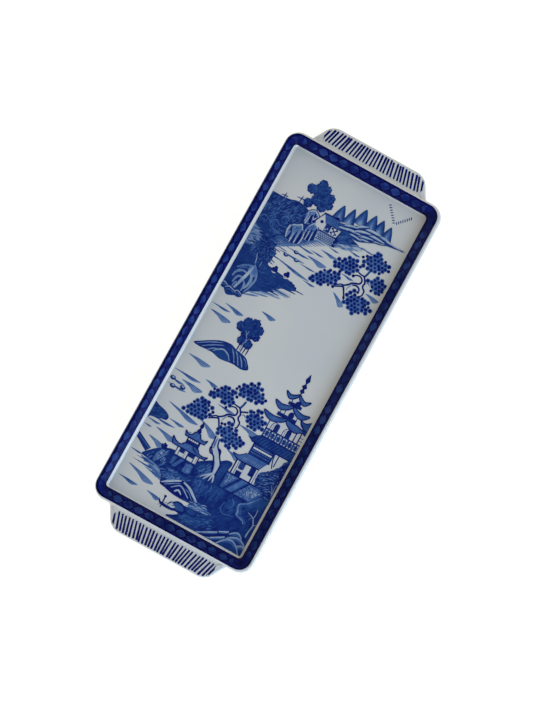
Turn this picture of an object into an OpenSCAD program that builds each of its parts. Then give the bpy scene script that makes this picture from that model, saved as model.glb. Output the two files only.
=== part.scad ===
// Rectangular porcelain sandwich tray with two tab handles, a raised sloping rim,
// a low foot ring, a printed border and brushed stripes on the handles.
// Origin: on the table, under the middle of the tray. +X runs along the tray to the far handle,
// +Y to the left long side seen from the near handle, +Z up.

/* [Rim] */
// Length of the rim over its lips, without the handles
rim_l = 320; // [240:1:420]
// Width of the rim over its lips
rim_w = 136; // [126:1:220]
// Height of the rim's crest above the table
rim_h = 18; // [16:0.5:26]
// Thickness of the wall, and so of its rounded lip
lip_t = 4.6; // [3.6:0.1:6]
// Slope of the wall from the level
wall_slope = 58; // [50:1:65]

/* [Well] */
// Depth of the well from the crest to the floor
well_depth = 8.5; // [7:0.5:10]
// Thickness of the floor
floor_t = 5; // [3.5:0.5:6]
// Radius of the cove between the floor and the wall
cove_r = 2.5; // [1.5:0.25:4]
// Radius of the flat floor's corners
floor_corner_r = 1.5; // [0.5:0.1:8]

/* [Foot] */
// Distance from the rim's lip in to the foot ring
foot_inset = 18; // [14:0.5:26]
// Width of the foot ring where it joins the floor
foot_root_w = 8; // [6.5:0.5:12]
// Width of the unglazed face that stands on the table
foot_face_w = 4; // [3:0.5:6]
// Radius of the foot ring's outer corners
foot_r = 16; // [14:0.5:24]
// Chamfer of the foot ring's lower edges
foot_chamfer = 0.8; // [0.4:0.1:1]

/* [Handles] */
// Reach of a handle beyond the rim's lip
handle_reach = 16.5; // [14:0.5:22]
// Length of a handle's straight outer edge
handle_edge_l = 67; // [50:1:72]
// Thickness of a handle at its rounded edge
handle_t = 4.4; // [3.6:0.1:5]
// Radius of a handle's outer shoulders
shoulder_r = 13; // [8:0.5:14]
// Radius of the flare where a handle's sides run out into the rim
flare_r = 8; // [5:0.5:10]
// Lean of a handle's sides from the long axis
flank_lean = 31; // [18:1:35]
// Rise of a handle's top towards its edge
handle_rise = 8; // [4:1:10]
// Rise of a handle's underside towards its edge
under_rise = 7; // [4:1:10]
// Radius of the fillet between the lip and a handle's top
root_r = 2; // [1.5:0.1:3]
// Angle on the lip at which that fillet starts
root_angle = 20; // [10:1:30]

/* [Border] */
// Width of the printed border in plan
border_w = 6.8; // [5:0.1:7.5]
// White margin between the lip and the border
border_inset = 2; // [1.6:0.1:2.6]
// How far the border was laid off centre towards the left side
border_shift = 1.3; // [0:0.1:1.5]
// Length of the plain corner blocks of the border
corner_l = 12; // [11.5:0.5:20]
// Thickness of the fired colour
print_t = 0.15; // [0.1:0.05:0.3]

/* [Stripes] */
// Number of brushed stripes on a handle
stripe_count = 30; // [16:1:32]
// Distance between the outermost stripes of a handle, at their inner ends
stripe_span = 88; // [80:1:90]
// Length of the far handle's stripes
stripe_l_far = 12.3; // [8:0.1:13]
// Length of the near handle's stripes
stripe_l_near = 13.4; // [8:0.1:13.8]
// Width of a stripe at its outer end
stripe_w_out = 1.75; // [1:0.05:1.9]
// Width of a stripe at its inner end
stripe_w_in = 1.4; // [0.8:0.05:1.6]
// Lean of the outermost stripes towards the middle
stripe_lean = 19; // [0:1:24]
// Distance from the lip to the far handle's stripes
stripe_gap_far = 2.5; // [2.1:0.1:3.5]
// Distance from the lip to the near handle's stripes
stripe_gap_near = 2.3; // [2.1:0.1:3.5]

/* [Hidden] */
$fn = 48;
eps = 0.01;

porcelain = [0.93, 0.94, 0.95];
bare_clay = [0.86, 0.82, 0.76];
cobalt = [0.08, 0.12, 0.42];

// Heights
floor_z = rim_h - well_depth;
foot_h = floor_z - floor_t;

// Rim section, measured outwards from the axis of its corners.
// tilt is the angle of the wall's outer normal below the level.
lip_r = lip_t / 2;
tilt = 90 - wall_slope;
bend_drop = (lip_r + cove_r) * (1 - cos(wall_slope));
slope_run = (well_depth - bend_drop) / tan(wall_slope);
floor_inset = lip_r + (lip_r + cove_r) * sin(wall_slope) + slope_run;
rim_r = round((floor_inset + floor_corner_r) * 20) / 20;
inner_r = rim_r - floor_inset;
run_x = rim_l / 2 - rim_r;
run_y = rim_w / 2 - rim_r;
lip_c = [rim_r - lip_r, rim_h - lip_r];
cove_c = [inner_r, floor_z + cove_r];
lip_under = lip_c + lip_r * [cos(tilt), -sin(tilt)];
wall_foot = [lip_under.x - (lip_under.y - foot_h) / tan(wall_slope), foot_h];
lip_steps = 20;
cove_steps = 8;

// Points of an arc about c from angle a0 to a1
function arc(c, r, a0, a1, steps) =
  [for (i = [0:steps]) let (a = a0 + (a1 - a0) * i / steps) c + r * [cos(a), sin(a)]];

function reversed(points) = [for (i = [len(points) - 1:-1:0]) points[i]];

// The rim's upper surface from a start angle on the lip in to the floor, raised by lift
function rim_top(start, lift) = concat(
  arc(lip_c, lip_r + lift, start, 180 - tilt, lip_steps),
  arc(cove_c, cove_r - lift, -tilt, -90, cove_steps)
);

rim_section = concat([[inner_r, foot_h], wall_foot], rim_top(-tilt, 0));
border_section = concat(rim_top(0, 0), reversed(rim_top(0, print_t)));

// Handle section: outward distance from the lip, and height.
handle_r = handle_t / 2;
lip_middle = [-lip_r, rim_h - lip_r];
root_c = lip_middle + (lip_r + root_r) * [cos(root_angle), sin(root_angle)];
top_start = root_c + root_r * [sin(handle_rise), -cos(handle_rise)];
edge_x = handle_reach - handle_r;
edge_c = [
  edge_x,
  top_start.y + (edge_x - top_start.x) * tan(handle_rise) - handle_r / cos(handle_rise)
];
under_edge = edge_c + handle_r * [sin(under_rise), -cos(under_rise)];
// The root reaches in to the middle of the wall, which is then cut out of the handle.
root_fall = lip_middle.y - under_edge.y + (under_edge.x - lip_middle.x) * tan(under_rise);
root_x = lip_middle.x - root_fall / (tan(wall_slope) - tan(under_rise));
under_root = under_edge + (root_x - under_edge.x) * [1, tan(under_rise)];
root_steps = 6;
edge_steps = 12;
handle_section = concat(
  [under_root, lip_middle],
  arc(root_c, root_r, 180 + root_angle, 270 + handle_rise, root_steps),
  arc(edge_c, handle_r, 90 + handle_rise, -90 + under_rise, edge_steps)
);

// The part of the handle's top that carries stripes, and the same raised by the colour
stripe_edge_angle = 30;
function handle_top(lift) = concat(
  [root_c + (root_r - lift) * [sin(handle_rise), -cos(handle_rise)]],
  arc(edge_c, handle_r + lift, 90 + handle_rise, stripe_edge_angle, edge_steps)
);
stripe_section = concat(handle_top(0), reversed(handle_top(print_t)));

// Handle outline in plan: outward distance from the lip, then distance from the middle.
// The flare runs out under the lip, at flare_x, and the root narrows behind it.
turn = 90 - flank_lean;
flare_x = -lip_r / 2;
shoulder_c = [handle_reach - shoulder_r, handle_edge_l / 2];
shoulder_end = shoulder_c + shoulder_r * [cos(turn), sin(turn)];
flank_run = shoulder_end.x - flare_x - flare_r * (1 - cos(turn));
flank_end = shoulder_end + flank_run * [-1, tan(flank_lean)];
flare_c = flank_end + flare_r * [cos(turn), sin(turn)];
outline_steps = 10;
half_outline = concat(
  arc(shoulder_c, shoulder_r, 0, turn, outline_steps),
  arc(flare_c, flare_r, 180 + turn, 180, outline_steps),
  [[root_x - eps, flank_end.y]]
);
handle_outline = concat(half_outline, reversed([for (p = half_outline) [p.x, -p.y]]));

// A closed ring with straight sides and round corners, swept from a section
module ring(run_x, run_y, section) {
  for (side = [0, 180]) rotate([0, 0, side]) {
    translate([-run_x, run_y, 0]) rotate([90, 0, 90]) linear_extrude(2 * run_x) polygon(section);
    translate([run_x, run_y, 0]) rotate([90, 0, 0]) linear_extrude(2 * run_y) polygon(section);
    translate([run_x, run_y, 0]) rotate_extrude(angle = 90) polygon(section);
    translate([-run_x, run_y, 0]) rotate([0, 0, 90]) rotate_extrude(angle = 90) polygon(section);
  }
}

module rounded_plate(l, w, r) {
  square([l - 2 * r, w], center = true);
  square([l, w - 2 * r], center = true);
  for (x = [-1, 1], y = [-1, 1]) translate([x * (l / 2 - r), y * (w / 2 - r)]) circle(r);
}

module well_floor() {
  color(porcelain) translate([0, 0, foot_h]) linear_extrude(floor_t)
    rounded_plate(2 * (run_x + inner_r), 2 * (run_y + inner_r), inner_r);
}

module rim_wall() {
  color(porcelain) ring(run_x, run_y, rim_section);
}

// The foot ring narrows to its bare standing face.
module foot_ring() {
  taper = (foot_root_w - foot_face_w) / 2 - foot_chamfer;
  section = [
    [foot_r - foot_root_w, foot_h], [foot_r - foot_root_w + taper, foot_chamfer],
    [foot_r - foot_root_w + taper + foot_chamfer, 0], [foot_r - taper - foot_chamfer, 0],
    [foot_r - taper, foot_chamfer], [foot_r, foot_h]
  ];
  color(bare_clay) ring(rim_l / 2 - foot_inset - foot_r, rim_w / 2 - foot_inset - foot_r, section);
}

// A section in the plane of the long axis, drawn out across the far end of the tray
module across_end(section) {
  translate([rim_l / 2, rim_w / 2, 0]) rotate([90, 0, 0]) linear_extrude(rim_w) polygon(section);
}

module handle() {
  color(porcelain) difference() {
    intersection() {
      across_end(handle_section);
      translate([rim_l / 2, 0, 0]) linear_extrude(rim_h + lip_t) polygon(handle_outline);
    }
    rim_wall();
  }
}

module handle_far() {
  handle();
}

module handle_near() {
  rotate([0, 0, 180]) handle();
}

module border_plan() {
  l = rim_l - 2 * border_inset;
  w = rim_w - 2 * border_inset;
  r = rim_r - border_inset;
  translate([0, border_shift]) difference() {
    rounded_plate(l, w, r);
    rounded_plate(l - 2 * border_w, w - 2 * border_w, r - border_w);
  }
}

// The part of the border that lies over a plain area of the plan
module border_piece(centre, size) {
  color(cobalt) intersection() {
    ring(run_x, run_y, border_section);
    linear_extrude(rim_h + lip_t) intersection() {
      border_plan();
      translate(centre) square(size, center = true);
    }
  }
}

// Half the length of the border's straight pieces, along each axis
strip_x = rim_l / 2 - border_inset - corner_l;
strip_y = rim_w / 2 - border_inset - corner_l;
// Room around a piece of the border, so that only its ends are cut
strip_room = 2 * (border_w + border_shift);

module border_left() {
  border_piece([0, rim_w / 2], [2 * strip_x, 2 * strip_room]);
}

module border_right() {
  border_piece([0, -rim_w / 2], [2 * strip_x, 2 * strip_room]);
}

module border_far() {
  border_piece([rim_l / 2, border_shift], [2 * strip_room, 2 * strip_y]);
}

module border_near() {
  border_piece([-rim_l / 2, border_shift], [2 * strip_room, 2 * strip_y]);
}

module border_corners() {
  for (x = [-1, 1], y = [-1, 1])
    border_piece([x * (strip_x + corner_l), border_shift + y * (strip_y + corner_l)], 2 * [corner_l, corner_l]);
}

// One brush stroke along +X with round ends, in plan
module stroke(length) {
  r_in = stripe_w_in / 2;
  r_out = stripe_w_out / 2;
  polygon(concat(
    arc([r_in, 0], r_in, 90, 270, root_steps),
    arc([length - r_out, 0], r_out, -90, 90, root_steps)
  ));
}

// The strokes lean in towards the middle of the handle, more towards its ends, and stop at its edge.
module stripes(gap, length) {
  color(cobalt) intersection() {
    across_end(stripe_section);
    linear_extrude(rim_h + lip_t) intersection() {
      translate([rim_l / 2, 0]) polygon(handle_outline);
      for (i = [0:stripe_count - 1]) {
        place = 2 * i / (stripe_count - 1) - 1;
        translate([rim_l / 2 + gap, place * stripe_span / 2])
          rotate(-stripe_lean * sin(90 * place)) stroke(length);
      }
    }
  }
}

module stripes_far() {
  stripes(stripe_gap_far, stripe_l_far);
}

module stripes_near() {
  rotate([0, 0, 180]) stripes(stripe_gap_near, stripe_l_near);
}

well_floor();
rim_wall();
foot_ring();
handle_far();
handle_near();
border_left();
border_right();
border_far();
border_near();
border_corners();
stripes_far();
stripes_near();
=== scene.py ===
# %% [markdown]
# # A blue and white sandwich tray
# The tray is one piece of porcelain: a long floor, a sloping rim, a low foot ring and two tab handles.
# Before it was dipped in clear glaze it was decorated in cobalt blue, with a printed chain border on
# the rim, brushed stripes on the handles and a river landscape printed in the well.
#
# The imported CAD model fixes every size. In this lesson each piece is rebuilt as a smooth mesh in the
# same frame, because a glossy glaze shows every facet, and then it gets its finish.

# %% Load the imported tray
import math
import random
import bpy
from mathutils import Matrix, Vector


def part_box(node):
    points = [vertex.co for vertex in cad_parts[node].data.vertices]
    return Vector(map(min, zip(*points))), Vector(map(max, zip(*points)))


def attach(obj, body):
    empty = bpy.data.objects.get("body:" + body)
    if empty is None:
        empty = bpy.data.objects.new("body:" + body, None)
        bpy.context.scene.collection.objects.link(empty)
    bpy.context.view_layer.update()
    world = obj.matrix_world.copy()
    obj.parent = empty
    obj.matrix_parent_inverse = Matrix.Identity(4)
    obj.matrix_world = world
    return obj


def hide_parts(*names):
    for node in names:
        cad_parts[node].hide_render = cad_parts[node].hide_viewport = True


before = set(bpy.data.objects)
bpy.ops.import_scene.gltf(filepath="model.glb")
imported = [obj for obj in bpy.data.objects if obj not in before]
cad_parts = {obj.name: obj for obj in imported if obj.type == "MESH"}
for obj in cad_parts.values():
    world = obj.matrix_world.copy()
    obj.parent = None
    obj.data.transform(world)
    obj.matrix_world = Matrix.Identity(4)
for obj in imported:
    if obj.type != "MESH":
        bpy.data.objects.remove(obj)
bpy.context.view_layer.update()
MM = 0.001
print("CAD nodes:", ", ".join(sorted(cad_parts)))

# %% [markdown]
# ## Sizes
# The outer sizes are read from the frame, so that this file follows the CAD model. All work is done in
# millimetres and turned into metres when a mesh is made. The radii of the lip and the cove can't be
# read from a box, so they are written here.

# %% Read the main sizes from the frame


def box_mm(node):
    low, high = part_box(node)
    return Vector(low) / MM, Vector(high) / MM


half_l, half_w, rim_h = box_mm("rim_wall")[1]
floor_low, floor_high = box_mm("well_floor")
floor_z = floor_high.z
under_z = floor_low.z
lip_r = 2.3
cove_r = 2.5
wall_slope = 58
rim_r = 11.75
inner_r = rim_r - (half_l - floor_high.x)
run_x = half_l - rim_r
run_y = half_w - rim_r
print(f"rim {2 * half_l:.1f} x {2 * half_w:.1f} mm, crest at {rim_h:.1f}, floor at {floor_z:.1f}")

# %% [markdown]
# ## Shader maths as Python expressions
# A finish is a network of nodes. Placing them by hand hides what they compute, so a small class wraps
# one output socket and lets Python's operators add the Math nodes: `1 - mask * 0.5` reads like the
# formula it is. Every other node comes from its `node` method: settings first, then sockets.

# %% A socket that can be calculated with


class Signal:
    """An output socket of a shader node, for use in expressions."""

    def __init__(self, tree, socket=None):
        self.tree = tree
        self.socket = socket

    def node(self, kind, settings=None, sockets=None, out=0):
        made = self.tree.nodes.new("ShaderNode" + kind)
        for name, value in (settings or {}).items():
            if name == "stops":
                set_stops(made.color_ramp, value)
            else:
                setattr(made, name, value)
        for key, value in (sockets or {}).items():
            if isinstance(value, Signal):
                self.tree.links.new(value.socket, made.inputs[key])
            else:
                made.inputs[key].default_value = value
        return Signal(self.tree, made.outputs[out])

    def maths(self, operation, first, second=0.0):
        return self.node("Math", {"operation": operation}, {0: first, 1: second})

    def __add__(self, other):
        return self.maths("ADD", self, other)

    def __sub__(self, other):
        return self.maths("SUBTRACT", self, other)

    def __rsub__(self, other):
        return self.maths("SUBTRACT", other, self)

    def __mul__(self, other):
        return self.maths("MULTIPLY", self, other)

    def __truediv__(self, other):
        return self.maths("DIVIDE", self, other)

    def __abs__(self):
        return self.maths("ABSOLUTE", self)

    __radd__ = __add__
    __rmul__ = __mul__

    def cosine(self):
        return self.maths("COSINE", self)

    def rises(self, low, high):
        """0 below low, 1 above high, and a soft step between."""
        return self.node("MapRange", {"interpolation_type": "SMOOTHSTEP"}, {0: self, 1: low, 2: high})

    def mix(self, colour, other):
        """The first colour where this is 0 and the other where it is 1."""
        return self.node("Mix", {"data_type": "RGBA"}, {0: self, 6: colour, 7: other}, out=2)


def set_stops(ramp, stops):
    while len(ramp.elements) < len(stops):
        ramp.elements.new(1.0)
    for element, (position, colour) in zip(ramp.elements, stops):
        element.position = position
        element.color = colour


# %% Start a finish


def new_finish(name, **constants):
    """A material with its shader, and a Signal to start expressions from."""
    finish = bpy.data.materials.new(name)
    finish.use_nodes = True
    shader = finish.node_tree.nodes["Principled BSDF"]
    for socket, value in constants.items():
        shader.inputs[socket.replace("_", " ")].default_value = value
    print("finish:", name)
    return finish, shader, Signal(finish.node_tree)


def feed(shader, **signals):
    for socket, signal in signals.items():
        signal.tree.links.new(signal.socket, shader.inputs[socket.replace("_", " ")])


def noise(start, size_mm, detail=2.0):
    """Cloudy noise whose lumps are about size_mm across, fixed to the object."""
    place = start.node("TexCoord", out=3)
    return start.node("TexNoise", None, {"Vector": place, "Scale": 1 / (size_mm * MM), "Detail": detail})


def glaze_ripple(start):
    """The faint orange peel of a fired glaze."""
    height = noise(start, 7.0)
    return start.node("Bump", None, {"Strength": 0.05, "Distance": 0.3 * MM, "Height": height})


def under_glaze(shader, start, colour, cloud_mm, gloss=0.07):
    """Feeds a colour, with the uneven gloss and the ripple of the clear glaze over it."""
    feed(
        shader,
        Base_Color=colour,
        Roughness=gloss + noise(start, cloud_mm) * 0.07,
        Normal=glaze_ripple(start),
    )


# %% [markdown]
# ## White porcelain
# Fired porcelain is a slightly cool white under a clear, glossy glaze. A flat colour would look like
# plastic. The glaze pools a little and its tint drifts over centimetres, so broad noise moves the
# colour and the roughness by a few percent, and a faint ripple breaks up the reflections.

# %% The white glaze

white = (0.50, 0.505, 0.495, 1)
cool_white = (0.47, 0.485, 0.49, 1)


def make_white_glaze():
    finish, shader, start = new_finish("white_glaze", IOR=1.5)
    drift = noise(start, 45.0)
    under_glaze(shader, start, drift.rises(0.35, 0.7).mix(white, cool_white), 18.0)
    return finish


white_glaze = make_white_glaze()

# %% [markdown]
# ## The rim and the floor
# The rim is one section carried round a rectangle with round corners: up the sloping outside, over the
# round lip, down the sloping inside and through a cove to the floor. It could be a bevelled curve, but
# a loop over the section's points keeps the corners exact. A narrow flat strip ends the section, so
# that the seam with the floor shades evenly.

# %% Mesh helpers


def arc(centre, radius, start, end, steps):
    """Points of an arc between two angles in degrees."""
    angles = [math.radians(start + (end - start) * step / steps) for step in range(steps + 1)]
    return [(centre[0] + radius * math.cos(a), centre[1] + radius * math.sin(a)) for a in angles]


def make_piece(name, points, faces, finish, slot, *stands_for, crease=40):
    mesh = bpy.data.meshes.new(name)
    mesh.from_pydata([Vector(point) * MM for point in points], [], faces)
    mesh.shade_smooth()
    mesh.set_sharp_from_angle(angle=math.radians(crease))
    mesh.materials.append(finish)
    piece = bpy.data.objects.new(name, mesh)
    bpy.context.collection.objects.link(piece)
    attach(piece, "root")
    if stands_for:
        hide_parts(*stands_for)
    print(f"{name}: {len(points)} points, {len(faces)} faces")
    return piece


def join_loops(loops):
    """Faces between closed loops of points that follow each other, and back to the first."""
    size = len(loops[0])
    faces = []
    for station in range(len(loops)):
        ahead = (station + 1) % len(loops)
        for k in range(size):
            after = (k + 1) % size
            here, there = station * size, ahead * size
            faces.append((here + k, there + k, there + after, here + after))
    return [point for loop in loops for point in loop], faces


# %% A section carried round the tray

corner_signs = [(1, 1), (-1, 1), (-1, -1), (1, -1)]
turn_steps = 16


def turns():
    """Corner by corner round the tray: the corner's signs and the direction outwards."""
    for quarter, signs in enumerate(corner_signs):
        for step in range(turn_steps + 1):
            angle = (quarter + step / turn_steps) * math.pi / 2
            yield signs, (math.cos(angle), math.sin(angle))


def ring(section, axis_x, axis_y):
    """Carries a section of (distance from the corner's axis, height) round the tray."""
    loops = []
    for (side_x, side_y), (out_x, out_y) in turns():
        loops.append([(side_x * axis_x + n * out_x, side_y * axis_y + n * out_y, z) for n, z in section])
    return join_loops(loops)


# %% The rim

tilt = 90 - wall_slope
lip_c = (rim_r - lip_r, rim_h - lip_r)
cove_c = (inner_r, floor_z + cove_r)
seam_w = 0.5
seam_n = inner_r - seam_w
outer_edge_r = 1.2


def rim_section():
    lean, drop = math.cos(math.radians(tilt)), math.sin(math.radians(tilt))
    edge_z = under_z + outer_edge_r
    edge_n = lip_c[0] + (lip_r - outer_edge_r - (lip_c[1] - edge_z) * drop) / lean
    under_edge = arc((edge_n, edge_z), outer_edge_r, -90, -tilt, 6)
    lip = arc(lip_c, lip_r, -tilt, 180 - tilt, 36)
    cove = arc(cove_c, cove_r, -tilt, -90, 18)
    return [(seam_n, under_z)] + under_edge + lip + cove + [(seam_n, floor_z)]


points, faces = ring(rim_section(), run_x, run_y)
make_piece("tray_rim", points, faces, white_glaze, "white_glaze", "rim_wall")

# %% The floor

top = [(sx * run_x + seam_n * ox, sy * run_y + seam_n * oy) for (sx, sy), (ox, oy) in turns()]
size = len(top)
points = [(x, y, z) for z in (under_z, floor_z) for x, y in top]
faces = [list(range(size))[::-1], list(range(size, 2 * size))]
faces += [(k, (k + 1) % size, size + (k + 1) % size, size + k) for k in range(size)]
make_piece("tray_floor", points, faces, white_glaze, "white_glaze", "well_floor")

# %% [markdown]
# ## The foot ring
# The tray stands on a low ring. Before firing the glaze is wiped off its standing face, or it would
# stick to the kiln shelf, so the ring is white above and bare, matt clay below. One finish does both:
# the height decides, with a little noise because the wiped line is never quite even.

# %% Wiped clay

wipe_line = 1.1
clay = (0.52, 0.47, 0.39, 1)
dark_clay = (0.40, 0.35, 0.28, 1)


def make_wiped_clay():
    finish, shader, start = new_finish("wiped_clay", IOR=1.5)
    place = start.node("TexCoord", out=3)
    height = start.node("SeparateXYZ", None, {0: place}, out=2) / MM
    glazed = (height + noise(start, 9.0) * 0.5).rises(wipe_line, wipe_line + 0.4)
    grain = noise(start, 0.5, 4.0)
    rough = grain * (1 - glazed)
    feed(
        shader,
        Base_Color=glazed.mix(grain.rises(0.3, 0.7).mix(dark_clay, clay), white),
        Roughness=0.75 - glazed * 0.65,
        Normal=start.node("Bump", None, {"Strength": 0.3, "Distance": 0.1 * MM, "Height": rough}),
    )
    return finish


# %% The foot ring

foot_high = box_mm("foot_ring")[1]
foot_r = 16
foot_w = 8
foot_slope = 1.2
foot_edge_r = 0.8
foot_top = foot_high.z + 0.2


def foot_section():
    """Out of the floor, down the inside, over two round edges and up the outside."""
    inside = foot_r - foot_w
    inner_edge = arc((inside + foot_slope + foot_edge_r, foot_edge_r), foot_edge_r, 190, 270, 6)
    outer_edge = arc((foot_r - foot_slope - foot_edge_r, foot_edge_r), foot_edge_r, -90, -10, 6)
    return [(inside, foot_top)] + inner_edge + outer_edge + [(foot_r, foot_top)]


points, faces = ring(foot_section(), foot_high.x - foot_r, foot_high.y - foot_r)
make_piece("tray_foot", points, faces, make_wiped_clay(), "bare_clay", "foot_ring")

# %% [markdown]
# ## The handles
# Each end carries a flat tab. Its sides flare into the rim, its top rises a little towards a rounded
# edge, and a small fillet joins it to the lip. The outline is an arc, a straight side and an arc, seen
# from above. Cross sections stand along that outline: each starts inside the lip, runs out over the top,
# round the edge and back underneath, so the edge is round all the way along. Towards the lip the tab
# thins from below, so that its ends run out inside the lip and leave no step on the wall.

# %% Heights of a handle's top and underside

handle_reach = box_mm("handle_far")[1].x - half_l
top_tilt = math.radians(8)
under_tilt = math.radians(7)
root_turn = math.radians(20)
handle_edge_r = 2.15
root_r = 2.0
root_c = (1.741, 17.171)
flat_start = (root_c[0] + root_r * math.sin(top_tilt), root_c[1] - root_r * math.cos(top_tilt))
root_start = root_c[0] - root_r * math.cos(root_turn)


def handle_top(n):
    """Height of the top, n mm out from the lip: level inside the lip, a fillet, then a rising flat."""
    if n > flat_start[0]:
        return flat_start[1] + (n - flat_start[0]) * math.tan(top_tilt)
    return root_c[1] - math.sqrt(root_r**2 - (max(n, root_start) - root_c[0]) ** 2)


def handle_under(n):
    edge_n = handle_reach - handle_edge_r
    return handle_top(edge_n) - 2 * handle_edge_r + (n - edge_n) * math.tan(under_tilt)


# %% A handle's outline

shoulder_r = 13
shoulder_c = (handle_reach - shoulder_r, 33.5)
flare_r = 8
flare_n = -1.15
flare_end = -0.7
thin_from = 5.5
flank_lean = 31


def handle_outline():
    """From the lip on the +Y side round the edge to the lip on the other, as (out, along) points."""
    turn = 90 - flank_lean
    shoulder = arc(shoulder_c, shoulder_r, turn, 0, 16)
    flare_rise = flare_r * math.cos(math.radians(turn))
    flank_n = flare_n + flare_r - flare_rise
    flank_y = shoulder[0][1] + (shoulder[0][0] - flank_n) * math.tan(math.radians(flank_lean))
    flare_c = (flare_n + flare_r, flank_y + flare_r * math.sin(math.radians(turn)))
    flare = [p for p in arc(flare_c, flare_r, 180, 180 + turn, 20) if p[0] > flare_end]
    half = flare + shoulder
    return half + [(n, -y) for n, y in reversed(half)]


outline = handle_outline()
print(f"handle reaches {handle_reach:.1f} mm and spreads to {2 * outline[0][1]:.1f} mm at the lip")

# %% Sections along the outline

edge_steps = 9
root_steps = 22
root_n = -3.0
under_root_n = -3.4
root_squeeze = 0.12


def inward(k):
    """The direction from the outline's point k into the handle."""
    before, after = outline[max(k - 1, 0)], outline[min(k + 1, len(outline) - 1)]
    along = Vector((after[0] - before[0], after[1] - before[1])).normalized()
    return Vector((along.y, -along.x))


def thinning(n):
    """How far the underside has risen to the edge: 0 on the flank, 1 where the flare ends in the lip."""
    share = min(max((thin_from - n) / (thin_from - flare_end), 0), 1)
    return share**2 * (3 - 2 * share)


def handle_loop(k):
    """One cross section: over the top from the lip, round the edge and back underneath."""
    edge, into = Vector(outline[k]), inward(k)
    top, under = [], []
    for step in range(edge_steps + 1):
        bend = math.pi / 2 * step / edge_steps
        n, y = edge + into * handle_edge_r * (1 - math.cos(bend))
        drop = handle_edge_r * (1 - math.sin(bend))
        top.append((n, y, handle_top(n) - drop))
        under.append((n, y, handle_under(n) + drop))
    for step in range(1, root_steps + 1):
        share = 1 - (1 - step / root_steps) ** 2
        n = top[edge_steps][0] + (root_n - top[edge_steps][0]) * share
        top.append((n, y, handle_top(n)))
        n = under[edge_steps][0] + (under_root_n - under[edge_steps][0]) * share
        under.append((n, y * (1 - root_squeeze * share), handle_under(n)))
    edge_z = top[0][2]
    under = [(n, y, z + (edge_z - z) * thinning(edge.x)) for n, y, z in under]
    middle = (top[0][0], top[0][1], (edge_z + under[0][2]) / 2)
    return top[:0:-1] + [middle] + under[1:]


# %% The two handles

loops = [handle_loop(k) for k in range(len(outline))]
section_size = len(loops[0])
points, faces = join_loops(loops)
faces = faces[:-section_size]
last = len(points) - section_size
faces += [list(range(section_size)), list(range(last, last + section_size))[::-1]]


def at_end(end, point):
    """Turns (out from the lip, along, height) into a place at the far (1) or near (-1) end."""
    n, y, z = point
    return end * (half_l + n), end * y, z


handle_ends = {"far": 1, "near": -1}
for end_name, end in handle_ends.items():
    placed = [at_end(end, point) for point in points]
    node = f"handle_{end_name}"
    make_piece(f"tray_{node}", placed, faces, white_glaze, "white_glaze", node, crease=60)

# %% [markdown]
# ## Cobalt blue
# Cobalt painted under a glaze is dark where it lies thick and violet to teal where it runs thin. The
# stripes were brushed by hand: the colour gathers along the edges and ends of a stroke, so their finish
# drifts between two blues with fine noise. Clear glaze covers everything, so the gloss stays that of
# the white.

# %% The brushed blue

navy = (0.004, 0.006, 0.08, 1)
ink_blue = (0.01, 0.02, 0.14, 1)


def make_brushed_blue():
    finish, shader, start = new_finish("brushed_blue", IOR=1.5)
    thin = noise(start, 2.2, 3.0).rises(0.42, 0.75)
    under_glaze(shader, start, thin.mix(navy, ink_blue), 12.0, gloss=0.08)
    return finish


brushed_blue = make_brushed_blue()

# %% [markdown]
# ## The stripes on the handles
# Thirty strokes cross each handle. They lean in towards the middle, more at the ends, and swell a little
# outwards. No two strokes of a brush are alike, so a seeded random generator varies their lean, width
# and length. Each stroke is a thin solid that follows the handle's top and its rounded edge.

# %% The skin that a stroke lies on

colour_t = 0.09
sink = 0.05
stroke_count = 30
stroke_span = 88
stroke_lean = 19


def edge_distance(n, y):
    """Distance from a place on a handle to its outline."""
    place = Vector((n, abs(y)))
    best = handle_reach
    for start, end in zip(outline, outline[1:]):
        along = Vector(end) - Vector(start)
        share = min(max((place - Vector(start)).dot(along) / along.length_squared, 0), 1)
        best = min(best, (place - Vector(start) - along * share).length)
    return best


def handle_skin(n, y):
    """Height of a handle's surface, with its rounded edge."""
    inside = max(handle_edge_r - edge_distance(n, y), 0)
    return handle_top(n) - handle_edge_r + math.sqrt(handle_edge_r**2 - inside**2)


# %% Shape and lay a stroke


def stroke_shape(length, inner_r, outer_r):
    """(distance along, half width) with round ends."""
    caps = [math.radians(angle) for angle in (20, 45, 70, 90)]
    inner = [(inner_r * (1 - math.cos(a)), inner_r * math.sin(a)) for a in caps]
    outer = [(length - outer_r * (1 - math.cos(a)), outer_r * math.sin(a)) for a in reversed(caps)]
    steps = 10
    (start, start_w), (end, end_w) = inner[-1], outer[0]
    body = []
    for step in range(1, steps):
        share = step / steps
        body.append((start + (end - start) * share, start_w + (end_w - start_w) * share))
    return inner + body + outer


def lay_stroke(end, points, faces, foot, lean, shape):
    """A thin solid stroke on a handle, starting at foot = (out, along)."""
    first = len(points)
    along, across = (math.cos(lean), math.sin(lean)), (-math.sin(lean), math.cos(lean))
    for distance, half in shape:
        for side, lift in ((-1, colour_t), (1, colour_t), (1, -sink), (-1, -sink)):
            n = foot[0] + along[0] * distance + across[0] * half * side
            y = foot[1] + along[1] * distance + across[1] * half * side
            points.append(at_end(end, (n, y, handle_skin(n, y) + lift)))
    for station in range(len(shape) - 1):
        at = first + 4 * station
        for k in range(4):
            after = (k + 1) % 4
            faces.append((at + k, at + 4 + k, at + 4 + after, at + after))
    last = len(points) - 4
    faces += [(first, first + 1, first + 2, first + 3), (last + 3, last + 2, last + 1, last)]


# %% The stripes of both handles

edge_gap = 1.3
trim = 0.2


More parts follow.
